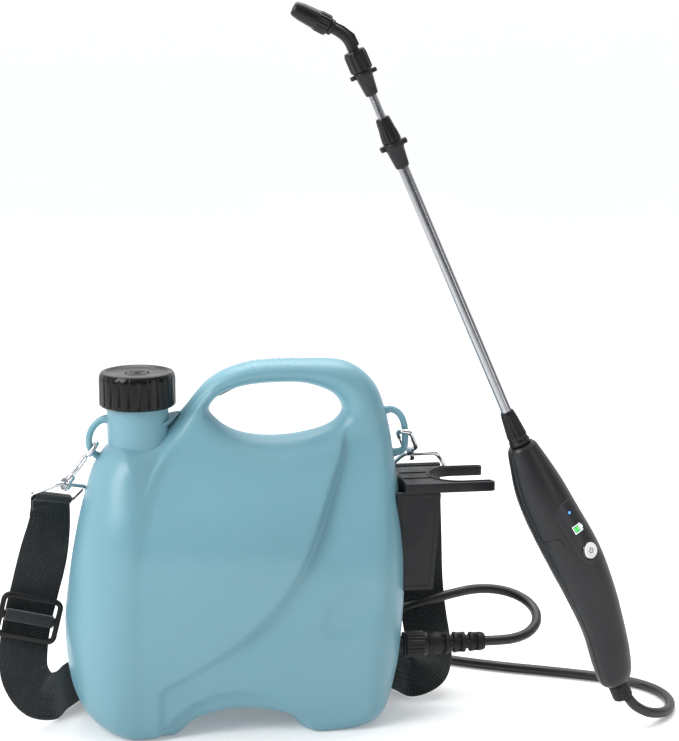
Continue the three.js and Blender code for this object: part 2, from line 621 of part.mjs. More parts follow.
const stemHole = solid(onGrip(rod(BUTTON.stem + 0.45, 14, 30, 12), turnTo, BUTTON.depth));
const usbSlot = solid(onGrip(prism(roundedRectangle(10.4, 4.8, 2.2, 3), 14, 30), USB.angle, USB.depth));
const bosses = SCREWS.map(([x, depth]) => solid(onGrip(rod(2.9, GAP, 30, 10)
  .translate(x, 0, 0), turnTo, depth)).intersect(gripBody(-1)));
const threads = SCREWS.map(([x, depth]) => solid(onGrip(rod(1.6, -30, 9, 10).translate(x, 0, 0),
  turnTo, depth)));
const headSeat = (x, depth) => -Math.sqrt(gripAt(depth).radius ** 2 - x ** 2) + 1.4;
const pockets = SCREWS.map(([x, depth]) => solid(onGrip(rod(3.3, -30, headSeat(x, depth), 12)
  .translate(x, 0, 0), turnTo, depth)));

put(wand, 'handle_shell_front', material.grip(), cut(
  join(gripShell.intersect(halfSpace('front')), ...bosses),
  panelPrism(GAP).subtract(gripBody(-PANEL.sunk - GAP)), stemHole, usbSlot, ...threads));
put(wand, 'handle_shell_back', material.grip(), cut(
  gripShell.intersect(halfSpace('back')), ...threads, ...pockets));
for (const [i, [x, depth]] of SCREWS.entries()) {
  const seat = headSeat(x, depth);
  put(wand, `handle_screw_${i + 1}`, material.steel(), onGrip(turned([[0, seat - GAP - 1.3],
    [2.6, seat - GAP - 1.1], [2.8, seat - GAP], [1.2, seat - GAP], [1.2, 7.5], [0, 8.4]], 12)
    .translate(x, 0, 0), turnTo, depth));
}

const displayPrism = (grow) => solid(onGrip(
  prism(roundedRectangle(14 + 2 * grow, 13 + 2 * grow, 1.5, 2), 12, 30), turnTo, 73));
const ledPrism = (grow) => solid(onGrip(rod(1.4 + grow, 12, 30, 10), turnTo, 60));
put(wand, 'control_panel', material.black(), cut(
  gripBody(PANEL.proud).subtract(gripBody(-PANEL.sunk)).intersect(panelPrism(0)),
  solid(onGrip(rod(BUTTON.radius + GAP, 12, 30, 20), turnTo, BUTTON.depth)),
  displayPrism(GAP), ledPrism(GAP)));
put(wand, 'battery_display', material.green(),
  gripBody(PANEL.proud - 0.15).subtract(gripBody(-PANEL.sunk + 0.2)).intersect(displayPrism(0)));
put(wand, 'status_led', material.white(),
  gripBody(PANEL.proud + 0.2).subtract(gripBody(-PANEL.sunk + 0.2)).intersect(ledPrism(0)));
put(wand, 'power_button', material.white(), onGrip(turned([[0, BUTTON.stemEnd],
  [BUTTON.stem, BUTTON.stemEnd], [BUTTON.stem, BUTTON.low], [BUTTON.radius, BUTTON.low],
  [BUTTON.radius, BUTTON.high - 0.8],
  [BUTTON.radius - 0.8, BUTTON.high], [0, BUTTON.high]], 20), turnTo, BUTTON.depth));
put(wand, 'button_switch', material.steel(), onGrip(box(-3, 3, -3, 3, 14.9, 17.4), turnTo, BUTTON.depth));
put(wand, 'circuit_board', material.board(), onGrip(box(-6, 6, -25, 25, 13, 14.5), turnTo, 79));
put(wand, 'battery_cell', material.cell(), onGrip(rod(9, 0, 65, 20).rotateX(-Math.PI / 2)
  .translate(0, -65, 0), turnTo, 0).translate(3.6, 0, -103));
put(wand, 'pump_motor', material.steel(), turned([[0, -70], [10.8, -70], [11.4, -69], [11.4, -41.6],
  [0, -41.6]], 20).translate(0.8, 0, 0));
put(wand, 'pump_head', material.black(), cut(solid(turned([[0, -41.2], [12.3, -41.2], [12.3, -28],
  [8, -26], [4.6, -26], [4.6, -19], [0, -19]], 18)), solid(rod(2, -24, -10, 10))));
put(wand, 'usb_socket', material.steel(), onGrip(box(-4.4, 4.4, -1.7, 1.7, 13, 18.2), USB.angle, USB.depth));
put(wand, 'usb_cover', material.rubber(), join(
  solid(onGrip(prism(roundedRectangle(16, 9.4, 4.6, 4), 21.1, 22.6), USB.angle, USB.depth)),
  solid(onGrip(prism(roundedRectangle(7.4, 3.2, 1.4, 2), 19.4, 21.3), USB.angle, USB.depth))));

// Hose connection at the grip's foot.
const foot = new THREE.Group();
foot.position.set(-3.2, 0, 0);
wand.add(foot);
put(foot, 'hose_barb', material.black(), cut(solid(turned([[0, -218], [5.2, -218], [5.2, -208.6],
  [7.6, -208.6], [7.6, -200], [8.8, -200], [8.8, -194], [3.4, -194], [3.4, -187.5], [0, -187.5]], 14)),
solid(rod(2, -220, -180, 8))));
put(foot, 'hose_nut_handle', material.black(), cut(
  solid(turned([[0, -222], [6.6, -222], [7.9, -220], [7.9, -209], [0, -209]], 18)),
  solid(rod(5.6, -218.6, -200, 16)), solid(rod(HOSE.radius + 0.5, -230, -210, 14))));

// Lance: socket, nut, outer tube, clamping collar and sliding inner tube.
put(wand, 'tube_socket', material.black(), cut(solid(turned([[0, -15], [9.8, -15], [9.8, -11.5],
  [8, -11.5], [8, 0.6], [5, 0.6], [5, 8], [0, 8]], 18)), solid(rod(TUBE.outer + GAP, -12.5, 10, 16)),
solid(rod(2.2, -20, 0, 10))));
put(wand, 'tube_nut', material.black(), cut(solid(turned([[0, 1], [7.9, 1], [8.1, 4], [7.3, 5], [7.3, 6.4],
  [7.7, 7.4], [5.7, 26], [4.9, 28.4], [0, 28.4]], 18)), solid(rod(5.4, 0, 9, 18)),
solid(rod(TUBE.outer + GAP, 5, 40, 16))));
put(wand, 'outer_tube', material.steel(), ring(TUBE.outer, TUBE.bore, -12, 246, 16));
put(wand, 'collar_body', material.black(), cut(solid(turned([[0, 229], [5, 229], [5.4, 231],
  [6.6, 243], [8, 245], [8, 248.6], [0, 248.6]], 18)).add(
  solid(prism(roundedRectangle(21, 7, 2.4, 3), 244.6, 248.4))),
solid(rod(TUBE.outer + GAP, 220, 246.6, 16)), solid(rod(TUBE.inner + 0.4, 240, 260, 14))));
put(wand, 'collet', material.rubber(), ring(4.7, TUBE.inner + GAP, 249.4, 257, 16));
put(wand, 'collar_nut', material.black(), cut(solid(turned([[0, 249], [7.2, 249], [7.2, 255],
  [6.4, 257], [5.6, 266], [4.8, 268], [0, 268]], 18)), solid(rod(5.1, 240, 258, 16)),
solid(rod(TUBE.inner + 0.5, 250, 280, 14))));
put(wand, 'inner_tube', material.steel(), ring(TUBE.inner, TUBE.core, 10, 293, 14));
put(wand, 'tube_connector', material.black(), cut(solid(turned([[0, 286], [4.6, 286], [4.9, 288],
  [6.3, 300], [7.4, 301], [7.4, 304], [0, 304]], 18)).add(
  solid(prism(roundedRectangle(20.5, 6.4, 2.2, 3), 300.6, 303.6))).add(solid(rod(4.6, 303, 313, 14))),
solid(rod(TUBE.inner + GAP, 280, 294, 14)), solid(rod(2, 290, 320, 10))));
put(wand, 'coupling_nut', material.black(), cut(solid(turned([[0, 304.5], [8, 304.5], [8.4, 306],
  [8.4, 318], [7.6, 320], [0, 320]], 10)), solid(rod(5, 300, 313.6, 14)), solid(rod(4.4, 310, 330, 14))));

const NOZZLE = { joint: [-9.4, 343.3], direction: [-0.638, 0, 0.77] };
const elbowPath = [[0, 0, 314], [0, 0, 322], [-0.8, 0, 330], [-4.4, 0, 337], [-9, 0, 342.8]];
put(wand, 'elbow', material.black(), cut(solid(bar(elbowPath, 4, 10, 3.5)).add(
  solid(along(rod(5.9, -3.2, 0, 16), [NOZZLE.joint[0], 0, NOZZLE.joint[1]], NOZZLE.direction))).add(
  solid(prism([[2.4, 322], [5.6, 323], [5.2, 331], [0.6, 339], [-4, 344.5], [-6.4, 342.5], [-1.6, 335]],
    -1.1, 1.1).rotateX(Math.PI / 2))),
solid(bar([[0, 0, 310], ...elbowPath, [-13, 0, 347.6]], 1.7, 6, 5))));
const tip = new THREE.Group();
tip.position.set(NOZZLE.joint[0], 0, NOZZLE.joint[1]);
tip.quaternion.setFromUnitVectors(new THREE.Vector3(0, 0, 1), vector(NOZZLE.direction).normalize());
wand.add(tip);
put(tip, 'spray_tip', material.black(), cut(solid(turned([[0, GAP], [7.4, GAP], [7.8, 2], [7.8, 9],
  [7.2, 10.4], [6.4, 22], [5.4, 27.5], [4.4, 28.7], [0, 28.7]], 18)), solid(rod(4.6, -1, 22, 16)),
solid(turned([[0, 20], [0.9, 20], [0.9, 26], [2.6, 30], [0, 30]], 12))));
put(tip, 'nozzle_core', material.brass(), cut(solid(turned([[0, 3], [4.2, 3], [4.2, 14], [2.6, 17],
  [2.6, 21], [0, 21]], 14)), solid(rod(1.5, 0, 18, 8)), solid(rod(0.8, 10, 30, 8))));

// ---------- hose ----------

// From the outlet round behind the tank, and from the coil there to the wand's foot.
const OUTLET_RUN = [[201.4, -14, 55], [213, -14, 55], [226, -12.5, 55.5], [239, -6, 57.5], [248, 5, 61.5],
  [251, 19.5, 66.5], [246.5, 33.5, 71.5], [236, 43.5, 75.5], [222, 48, 78], [206, 48.5, 78.5],
  [190, 46, 77], [174, 43, 74.5], [158, 41.5, 71], [143, 43, 66], [130, 49, 59], [118.5, 59, 50.5],
  [108, 69, 42.5], [97, 78, 35], [86, 86, 28.5], [75, 91, 22.5], [66, 92.4, 20.4]];
const WAND_RUN = [[99, 165, 4.1], [121, 149, 4.1], [146, 125, 4.1], [172, 102, 4.1], [204, 80, 4.1],
  [238, 62, 4.1], [272, 46.5, 4.1], [304, 30.5, 4.1], [326, 17, 4.1], [342, 0, 4.1], [349.5, -19, 4.1],
  [349.5, -38, 4.1], [343, -54, 4.6], [332, -66.5, 7], [318.5, -75, 12], [307.5, -79, 19.5],
  [301.6, -80, 26.5]];
put(bench, 'hose_outlet_run', material.rubber(), bar(OUTLET_RUN, HOSE.radius, 8, 12));
put(bench, 'hose_wand_run', material.rubber(), bar(WAND_RUN, HOSE.radius, 8, 12));
put(bench, 'hose_coil', material.rubber(), ring(HOSE.coilRadius + HOSE.coilHalf,
  HOSE.coilRadius - HOSE.coilHalf, 0, HOSE.coilHeight, 28).translate(HOSE.coil[0], HOSE.coil[1], 0));

export default object;
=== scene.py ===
import math

import bmesh
import bpy
import numpy as np
from mathutils import Matrix, Vector
from mathutils.kdtree import KDTree


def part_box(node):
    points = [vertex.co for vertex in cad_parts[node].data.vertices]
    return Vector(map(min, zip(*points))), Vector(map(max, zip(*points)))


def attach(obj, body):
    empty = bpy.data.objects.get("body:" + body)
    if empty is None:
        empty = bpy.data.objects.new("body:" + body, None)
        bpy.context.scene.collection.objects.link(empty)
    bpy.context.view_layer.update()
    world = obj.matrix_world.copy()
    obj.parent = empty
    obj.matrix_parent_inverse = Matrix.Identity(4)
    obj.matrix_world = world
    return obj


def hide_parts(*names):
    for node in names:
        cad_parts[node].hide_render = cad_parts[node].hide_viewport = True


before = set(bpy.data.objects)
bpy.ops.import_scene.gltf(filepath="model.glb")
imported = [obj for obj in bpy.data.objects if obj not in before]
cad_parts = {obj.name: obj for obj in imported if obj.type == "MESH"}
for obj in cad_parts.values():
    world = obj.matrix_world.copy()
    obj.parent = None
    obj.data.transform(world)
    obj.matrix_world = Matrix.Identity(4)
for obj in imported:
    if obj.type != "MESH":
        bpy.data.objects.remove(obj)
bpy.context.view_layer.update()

# ---------- the tank's own frame, in millimetres, inside the row frame ----------

CAP_X = -71.5                        # the filler cap's place along the tank
cap_low, cap_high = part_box("cap")
SHIFT = Vector(((cap_low.x + cap_high.x) / 2 - CAP_X * 0.001, (cap_low.y + cap_high.y) / 2, 0))
TANK_FRAME = Matrix.Translation(SHIFT) @ Matrix.Scale(0.001, 4)


def at(x, y, z):
    """A place given in the tank's frame, in the row frame."""
    return TANK_FRAME @ Vector((x, y, z))


# ---------- camera ----------

scene = bpy.context.scene
eye = at(-123.0, -1485.4, 572.0)
target = at(85.77, 0, 276.55)
camera = bpy.data.objects.new("camera", bpy.data.cameras.new("camera"))
scene.collection.objects.link(camera)
camera.location = eye
camera.rotation_mode = "QUATERNION"
camera.rotation_quaternion = (target - eye).to_track_quat("-Z", "Y")
camera.data.sensor_width = 36
camera.data.lens = 95.22
camera.data.clip_start = 0.05
camera.data.clip_end = 50
scene.camera = camera


# ---------- curves ----------

def spline_point(points, t, closed=False):
    """A point of the centripetal Catmull-Rom curve through the points, at t from 0 to 1."""
    count = len(points)
    p = (count if closed else count - 1) * t
    i = int(math.floor(p))
    w = p - i
    if closed:
        i %= count
    elif i >= count - 1:
        i, w = count - 2, 1.0
    p1, p2 = points[i], points[(i + 1) % count]
    p0 = points[(i - 1) % count] if closed or i > 0 else 2 * points[0] - points[1]
    p3 = points[(i + 2) % count] if closed or i + 2 < count else 2 * points[-1] - points[-2]
    d0, d1, d2 = (np.sum((b - a) ** 2) ** 0.25 for a, b in ((p0, p1), (p1, p2), (p2, p3)))
    d1 = d1 if d1 > 1e-4 else 1.0
    d0 = d0 if d0 > 1e-4 else d1
    d2 = d2 if d2 > 1e-4 else d1
    m1 = ((p1 - p0) / d0 - (p2 - p0) / (d0 + d1) + (p2 - p1) / d1) * d1
    m2 = ((p2 - p1) / d1 - (p3 - p1) / (d1 + d2) + (p3 - p2) / d2) * d1
    a, b = -3 * p1 + 3 * p2 - 2 * m1 - m2, 2 * p1 - 2 * p2 + m1 + m2
    return p1 + m1 * w + a * w ** 2 + b * w ** 3


def spline(points, count, closed=False):
    """The curve through the points as evenly spaced points along its length."""
    points = np.array(points, float)
    dense = np.array([spline_point(points, t, closed) for t in np.linspace(0, 1, 40 * len(points) + 1)])
    along = np.concatenate([[0], np.cumsum(np.linalg.norm(np.diff(dense, axis=0), axis=1))])
    stations = np.linspace(0, along[-1], count + 1)[:-1] if closed else np.linspace(0, along[-1], count)
    return np.stack([np.interp(stations, along, dense[:, k]) for k in range(dense.shape[1])], axis=1)


def smooth(t):
    """An even step from 0 to 1."""
    u = min(1.0, max(0.0, t))
    return u * u * (3 - 2 * u)


# ---------- materials ----------

NOISE_REACH = (0.3, 0.7)             # where most of a noise texture's values lie
PICK_PITCH, RIB_PITCH = 1.5, 2.1     # the webbing's threads across and along it, in mm
PICK_SLANT, RIB_SHARE = 1.5, 0.6     # the picks' slant in radians per mm, the ribs' height by theirs


def node(nodes, kind, inputs=(), **settings):
    """A new shader node with values for some of its inputs and for its own settings."""
    made = nodes.new(kind)
    for name, value in settings.items():
        setattr(made, name, value)
    for name, value in dict(inputs).items():
        made.inputs[name].default_value = value
    return made


def material(name, colour, roughness, metallic=0.0, tint=0.0, tint_scale=20.0, rough_vary=0.0,
             rough_scale=60.0, bump=0.0, bump_scale=400.0, **sockets):
    """A Principled material with noise in its colour, roughness and surface, in object space.
    tint and rough_vary are how far the colour and roughness wander; bump is a height in mm."""
    made = bpy.data.materials.new(name)
    made.use_nodes = True
    made.diffuse_color = (*colour, 1)
    nodes, links = made.node_tree.nodes, made.node_tree.links
    shader = nodes["Principled BSDF"]
    values = {"Base Color": (*colour, 1), "Roughness": roughness, "Metallic": metallic}
    values.update({key.replace("_", " "): value for key, value in sockets.items()})
    for key, value in values.items():
        shader.inputs[key].default_value = value
    place = node(nodes, "ShaderNodeTexCoord")

    def noise(scale, detail):
        texture = node(nodes, "ShaderNodeTexNoise", {"Scale": scale, "Detail": detail})
        links.new(place.outputs["Object"], texture.inputs["Vector"])
        return texture.outputs["Fac"]

    if tint:
        ramp = node(nodes, "ShaderNodeValToRGB")
        for stop, position, share in zip(ramp.color_ramp.elements, NOISE_REACH, (1 - tint, 1 + tint)):
            stop.position = position
            stop.color = (*[min(1, c * share) for c in colour], 1)
        links.new(noise(tint_scale, 4), ramp.inputs["Fac"])
        links.new(ramp.outputs["Color"], shader.inputs["Base Color"])
    if rough_vary:
        spread = node(nodes, "ShaderNodeMapRange", {
            "From Min": NOISE_REACH[0], "From Max": NOISE_REACH[1],
            "To Min": max(0.02, roughness - rough_vary), "To Max": min(1, roughness + rough_vary)})
        links.new(noise(rough_scale, 5), spread.inputs["Value"])
        links.new(spread.outputs["Result"], shader.inputs["Roughness"])
    if bump:
        relief = node(nodes, "ShaderNodeBump", {"Strength": 1.0, "Distance": bump * 0.001})
        links.new(noise(bump_scale, 3), relief.inputs["Height"])
        links.new(relief.outputs["Normal"], shader.inputs["Normal"])
    return made


def woven(name, colour):
    """Heavy webbing: ribs along its length and picks across it, from metric UVs in mm, with painted shade in
    the weave's hollows and painted light on its raised threads.
    """
    made = material(name, colour, 0.82, rough_vary=0.08, rough_scale=90, Sheen_Weight=0.35,
                    Sheen_Roughness=0.4)
    nodes, links = made.node_tree.nodes, made.node_tree.links
    shader = nodes["Principled BSDF"]
    flat = node(nodes, "ShaderNodeUVMap", uv_map="weave")
    split = node(nodes, "ShaderNodeSeparateXYZ")
    links.new(flat.outputs["UV"], split.inputs["Vector"])

    def worked_out(operation, a, b=None):
        step = node(nodes, "ShaderNodeMath", operation=operation)
        for socket, value in zip(step.inputs, (a, b)):
            if isinstance(value, (int, float)):
                socket.default_value = value
            elif value is not None:
                links.new(value, socket)
        return step.outputs["Value"]

    along = worked_out("MULTIPLY", split.outputs["X"], 2 * math.pi / PICK_PITCH)
    across = worked_out("MULTIPLY", split.outputs["Y"], 2 * math.pi / RIB_PITCH)
    zigzag = worked_out("PINGPONG", split.outputs["Y"], RIB_PITCH)
    slanted = worked_out("ADD", along, worked_out("MULTIPLY", zigzag, PICK_SLANT))
    ribs = worked_out("MULTIPLY", worked_out("COSINE", across), RIB_SHARE)
    height = worked_out("ADD", worked_out("SINE", slanted), ribs)
    relief = node(nodes, "ShaderNodeBump", {"Distance": 0.00022})
    links.new(height, relief.inputs["Height"])
    links.new(relief.outputs["Normal"], shader.inputs["Normal"])
    # Painted shade and light: the colour follows the weave's height, darker in its hollows and lighter on
    # its raised threads.
    shade = node(nodes, "ShaderNodeMapRange", {"From Min": -1 - RIB_SHARE, "From Max": 1 + RIB_SHARE})
    links.new(height, shade.inputs["Value"])
    blend = node(nodes, "ShaderNodeMixRGB", {
        "Color1": (*[c * 0.55 for c in colour], 1), "Color2": (*[c * 1.5 for c in colour], 1)})
    links.new(shade.outputs["Result"], blend.inputs["Fac"])
    links.new(blend.outputs["Color"], shader.inputs["Base Color"])
    return made


M = {
    "tank": material("tank_plastic", (0.165, 0.345, 0.415), 0.38, tint=0.035, tint_scale=9, rough_vary=0.05,
                     rough_scale=35, bump=0.05, bump_scale=420, Subsurface_Weight=0.12,
                     Subsurface_Scale=0.004, Specular_IOR_Level=0.5),
    "cap": material("cap_plastic", (0.004, 0.004, 0.0045), 0.24, rough_vary=0.06, rough_scale=120, bump=0.02,
                    bump_scale=700, Specular_IOR_Level=0.3),
    "black": material("black_plastic", (0.006, 0.0062, 0.007), 0.36, tint=0.15, tint_scale=60,
                      rough_vary=0.07, rough_scale=140, bump=0.03, bump_scale=1500, Specular_IOR_Level=0.32),
    "satin": material("fine_grained_plastic", (0.008, 0.0085, 0.010), 0.44, tint=0.12, tint_scale=40,
                      rough_vary=0.06, rough_scale=90, bump=0.045, bump_scale=1900, Specular_IOR_Level=0.35),
    "rubber": material("black_rubber", (0.008, 0.008, 0.009), 0.55, rough_vary=0.1, rough_scale=150,
                       bump=0.04, bump_scale=1200, Specular_IOR_Level=0.3),
    "hose": material("hose_rubber", (0.008, 0.008, 0.0092), 0.40, tint=0.12, tint_scale=50, rough_vary=0.08,
                     rough_scale=90, bump=0.03, bump_scale=900),
    "webbing": woven("webbing", (0.0075, 0.0098, 0.0112)),
    "thread": material("thread", (0.03, 0.034, 0.038), 0.7, bump=0.05, bump_scale=3000),
    "chrome": material("chrome", (0.60, 0.61, 0.63), 0.12, 1.0, rough_vary=0.05, rough_scale=260, bump=0.004,
                       bump_scale=900),
    "steel": material("brushed_steel", (0.40, 0.405, 0.42), 0.24, 1.0, tint=0.05, tint_scale=200,
                      rough_vary=0.07, rough_scale=500, bump=0.004, bump_scale=1400),
    "grip": material("grip_plastic", (0.0105, 0.0108, 0.0125), 0.42, tint=0.08, tint_scale=50,
                     rough_vary=0.05, rough_scale=70, bump=0.02, bump_scale=2600, Specular_IOR_Level=0.42),
    "panel": material("panel_satin", (0.019, 0.0195, 0.022), 0.36, tint=0.05, tint_scale=60, rough_vary=0.04,
                      rough_scale=80, bump=0.008, bump_scale=2600, Specular_IOR_Level=0.4),
    "glass": material("panel_gloss", (0.006, 0.006, 0.007), 0.16, rough_vary=0.04, rough_scale=80,
                      Coat_Weight=0.6, Coat_Roughness=0.08),
    "white": material("white_plastic", (0.86, 0.86, 0.85), 0.32, tint=0.02, rough_vary=0.05, bump=0.01,
                      bump_scale=1500),
    "grey": material("printed_grey", (0.07, 0.07, 0.075), 0.5),
    "green": material("lit_green", (0.08, 0.62, 0.10), 0.4, Emission_Color=(0.10, 0.8, 0.14, 1),
                      Emission_Strength=0.8),
    "lit_white": material("lit_white", (0.8, 0.85, 0.85), 0.4, Emission_Color=(0.8, 0.9, 1.0, 1),
                          Emission_Strength=0.7),
    "lit_blue": material("lit_blue", (0.05, 0.2, 0.6), 0.3, Emission_Color=(0.1, 0.35, 1.0, 1),
                         Emission_Strength=1.2),
    "board": material("circuit_green", (0.02, 0.16, 0.06), 0.35, tint=0.3, tint_scale=400, rough_vary=0.1,
                      bump=0.03, bump_scale=900),
    "cell": material("cell_wrap", (0.35, 0.05, 0.06), 0.3, tint=0.08, rough_vary=0.05, bump=0.01,
                     bump_scale=600),
    "brass": material("brass", (0.6, 0.42, 0.13), 0.28, 1.0, rough_vary=0.05, bump=0.01, bump_scale=900),
}


# ---------- making pieces ----------

def piece(name, body, mesh, look, replaces=(), sharp=40.0):
    made = bpy.data.objects.new(name, mesh)
    scene.collection.objects.link(made)
    mesh.materials.clear()
    mesh.materials.append(M[look])
    mesh.shade_smooth()
    mesh.set_sharp_from_angle(angle=math.radians(sharp))
    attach(made, body)
    if replaces:
        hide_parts(*replaces)
    return made


def mesh_of(name, points, faces, place=TANK_FRAME):
    mesh = bpy.data.meshes.new(name)
    mesh.from_pydata([place @ Vector(p) for p in points], [], faces)
    mesh.update()
    return mesh


def merged(name, meshes):
    """Several meshes as one, and the given ones removed."""
    whole = bmesh.new()
    for mesh in meshes:
        whole.from_mesh(mesh)
        bpy.data.meshes.remove(mesh)
    mesh = bpy.data.meshes.new(name)
    whole.to_mesh(mesh)
    whole.free()
    return mesh


def rounded(profile, radius, steps=3):
    """Rounds the inner corners of a [radius, height] outline."""
    result = [profile[0]]
    for before, corner, after in zip(profile, profile[1:], profile[2:]):
        a, b, c = (np.array(p[:2], float) for p in (before, corner, after))
        la, lc = np.linalg.norm(a - b), np.linalg.norm(c - b)
        ua, uc = (a - b) / la, (c - b) / lc
        cosine = float(np.clip(np.dot(ua, uc), -1, 1))
        reach = min(radius / max(0.2, math.tan(math.acos(cosine) / 2)), la * 0.45, lc * 0.45)
        if cosine < -0.985:
            result.append(corner)
            continue
        for i in range(steps + 1):
            t = i / steps
            p = (1 - t) ** 2 * (b + ua * reach) + 2 * t * (1 - t) * b + t ** 2 * (b + uc * reach)
            result.append((p[0], p[1], *corner[2:]))
    result.append(profile[-1])
    return result


def turned(name, profile, place, sides=64, ribs=0, sharpness=1.0, closed=False):
    """A solid of revolution about local Z. A third number in the outline is how deep the ribs'
    grooves cut there, in mm; sharpness above 1 makes narrow grooves, below 1 narrow ribs."""
    points, faces, rows = [], [], []
    for r, z, *cut in profile:
        if r < 1e-6:
            rows.append([len(points)] * sides)
            points.append((0, 0, z))
            continue
        depth = cut[0] if cut and ribs else 0.0
        row = []
        for k in range(sides):
            a = 2 * math.pi * k / sides
            here = r - depth * ((1 + math.cos(ribs * a)) / 2) ** sharpness
            row.append(len(points))
            points.append((here * math.cos(a), here * math.sin(a), z))
        rows.append(row)
    for low, high in zip(rows, rows[1:] + (rows[:1] if closed else [])):
        for k in range(sides):
            n = (k + 1) % sides
            ring = [low[k], low[n], high[n], high[k]]
            unique = [c for i, c in enumerate(ring) if c not in ring[:i]]
            if len(unique) > 2:
                faces.append(unique)
    return mesh_of(name, points, faces, place)


def round_piece(name, body, look, node_name, place, outline, sides, ribs=0, sharpness=1.0):
    """A turned piece with a closed outline that takes the place of one CAD node."""
    mesh = turned(name, outline, place, sides, ribs, sharpness, closed=True)
    return piece(name, body, mesh, look, [node_name], sharp=35)


def frames_along(path, closed=False):
    """Unit tangents and a side direction that turns as little as it can along a path."""
    path = np.asarray(path, float)
    ahead = np.roll(path, -1, axis=0) - np.roll(path, 1, axis=0)
    if not closed:
        ahead[0], ahead[-1] = path[1] - path[0], path[-1] - path[-2]
    tangents = ahead / np.linalg.norm(ahead, axis=1)[:, None]
    side = np.cross(tangents[0], (0.31, 0.52, 0.79))
    sides = []
    for t in tangents:
        side = side - t * np.dot(side, t)
        side /= np.linalg.norm(side)
        sides.append(side)
    if closed:
        slip = sides[0] - tangents[-1] * np.dot(sides[0], tangents[-1])
        turn = math.atan2(np.dot(np.cross(sides[-1], slip), tangents[-1]), np.dot(sides[-1], slip))
        for i, t in enumerate(tangents):
            a = turn * i / (len(tangents) - 1)
            sides[i] = sides[i] * math.cos(a) + np.cross(t, sides[i]) * math.sin(a)
    return tangents, np.array(sides)


def tube(name, path, radius, place=TANK_FRAME, sides=16, closed=False):
    """A round bar along the path's points; radius is one number or one for each point."""
    path = np.asarray(path, float)
    radii = np.broadcast_to(np.asarray(radius, float), (len(path),))
    tangents, normals = frames_along(path, closed)
    points, faces = [], []
    count = len(path)
    for p, t, n, r in zip(path, tangents, normals, radii):
        b = np.cross(t, n)
        for k in range(sides):
            a = 2 * math.pi * k / sides
            points.append(tuple(p + r * (n * math.cos(a) + b * math.sin(a))))
    for i in range(count if closed else count - 1):
        j = (i + 1) % count
        for k in range(sides):
            n = (k + 1) % sides
            faces.append((i * sides + k, i * sides + n, j * sides + n, j * sides + k))
    if not closed:
        faces.append(tuple(reversed(range(sides))))
        faces.append(tuple(range((count - 1) * sides, count * sides)))
    return mesh_of(name, points, faces, place)


def plate(name, outlines, low, high, place, bevel=0.4, steps=3):
    """A flat piece between two local heights from closed outlines, holes included, with
    rounded edges."""
    curve = bpy.data.curves.new(name, "CURVE")
    curve.dimensions = "2D"
    curve.fill_mode = "BOTH"
    curve.extrude = (high - low) / 2 - bevel
    curve.bevel_depth = bevel
    curve.bevel_resolution = steps
    curve.offset = -bevel
    for outline in outlines:
        line = curve.splines.new("POLY")
        line.points.add(len(outline) - 1)
        for point, (x, y) in zip(line.points, outline):
            point.co = (x, y, 0, 1)
        line.use_cyclic_u = True
    holder = bpy.data.objects.new(name, curve)
    mesh = bpy.data.meshes.new_from_object(holder)
    bpy.data.objects.remove(holder)
    bpy.data.curves.remove(curve)
    shape = bmesh.new()
    shape.from_mesh(mesh)
    bmesh.ops.remove_doubles(shape, verts=shape.verts, dist=1e-5)
    bmesh.ops.recalc_face_normals(shape, faces=shape.faces)
    shape.to_mesh(mesh)
    shape.free()
    mesh.transform(place @ Matrix.Translation((0, 0, (low + high) / 2)))
    return mesh


def corners(width, height, radius, steps=6, middle=(0, 0)):
    """A rectangle's outline with round corners."""
    points = []
    for sx, sy, quarter in ((1, 1, 0), (-1, 1, 1), (-1, -1, 2), (1, -1, 3)):
        for i in range(steps + 1):
            a = (quarter + i / steps) * math.pi / 2
            points.append((middle[0] + sx * (width / 2 - radius) + radius * math.cos(a),
                           middle[1] + sy * (height / 2 - radius) + radius * math.sin(a)))
    return points


def arc(radius, first, last, count, middle=(0, 0)):
    """Points on a circle between two angles."""
    return [(middle[0] + radius * math.cos(a), middle[1] + radius * math.sin(a))
            for a in np.linspace(first, last, count)]


def oval(across, up, count=32, middle=(0, 0)):
    """An ellipse's outline from its two half widths."""
    return [(middle[0] + across * math.cos(a), middle[1] + up * math.sin(a))
            for a in np.linspace(0, 2 * math.pi, count + 1)[:-1]]


def facing(width, length, origin):
    """A local frame in mm whose X runs along the width and Y nearly along the length."""
    x = Vector(width).normalized()
    y = Vector(length)
    y = (y - x * y.dot(x)).normalized()
    turn = Matrix((x, y, x.cross(y))).transposed().to_4x4()
    return TANK_FRAME @ Matrix.Translation(origin) @ turn


def upright(origin, direction, place=TANK_FRAME):
    """A local frame in mm whose Z runs along the direction."""
    turn = Vector((0, 0, 1)).rotation_difference(Vector(direction)).to_matrix().to_4x4()
    return place @ Matrix.Translation(origin) @ turn


def quarter_turn(axis):
    return Matrix.Rotation(math.pi / 2, 4, axis)


# ---------- hose ----------

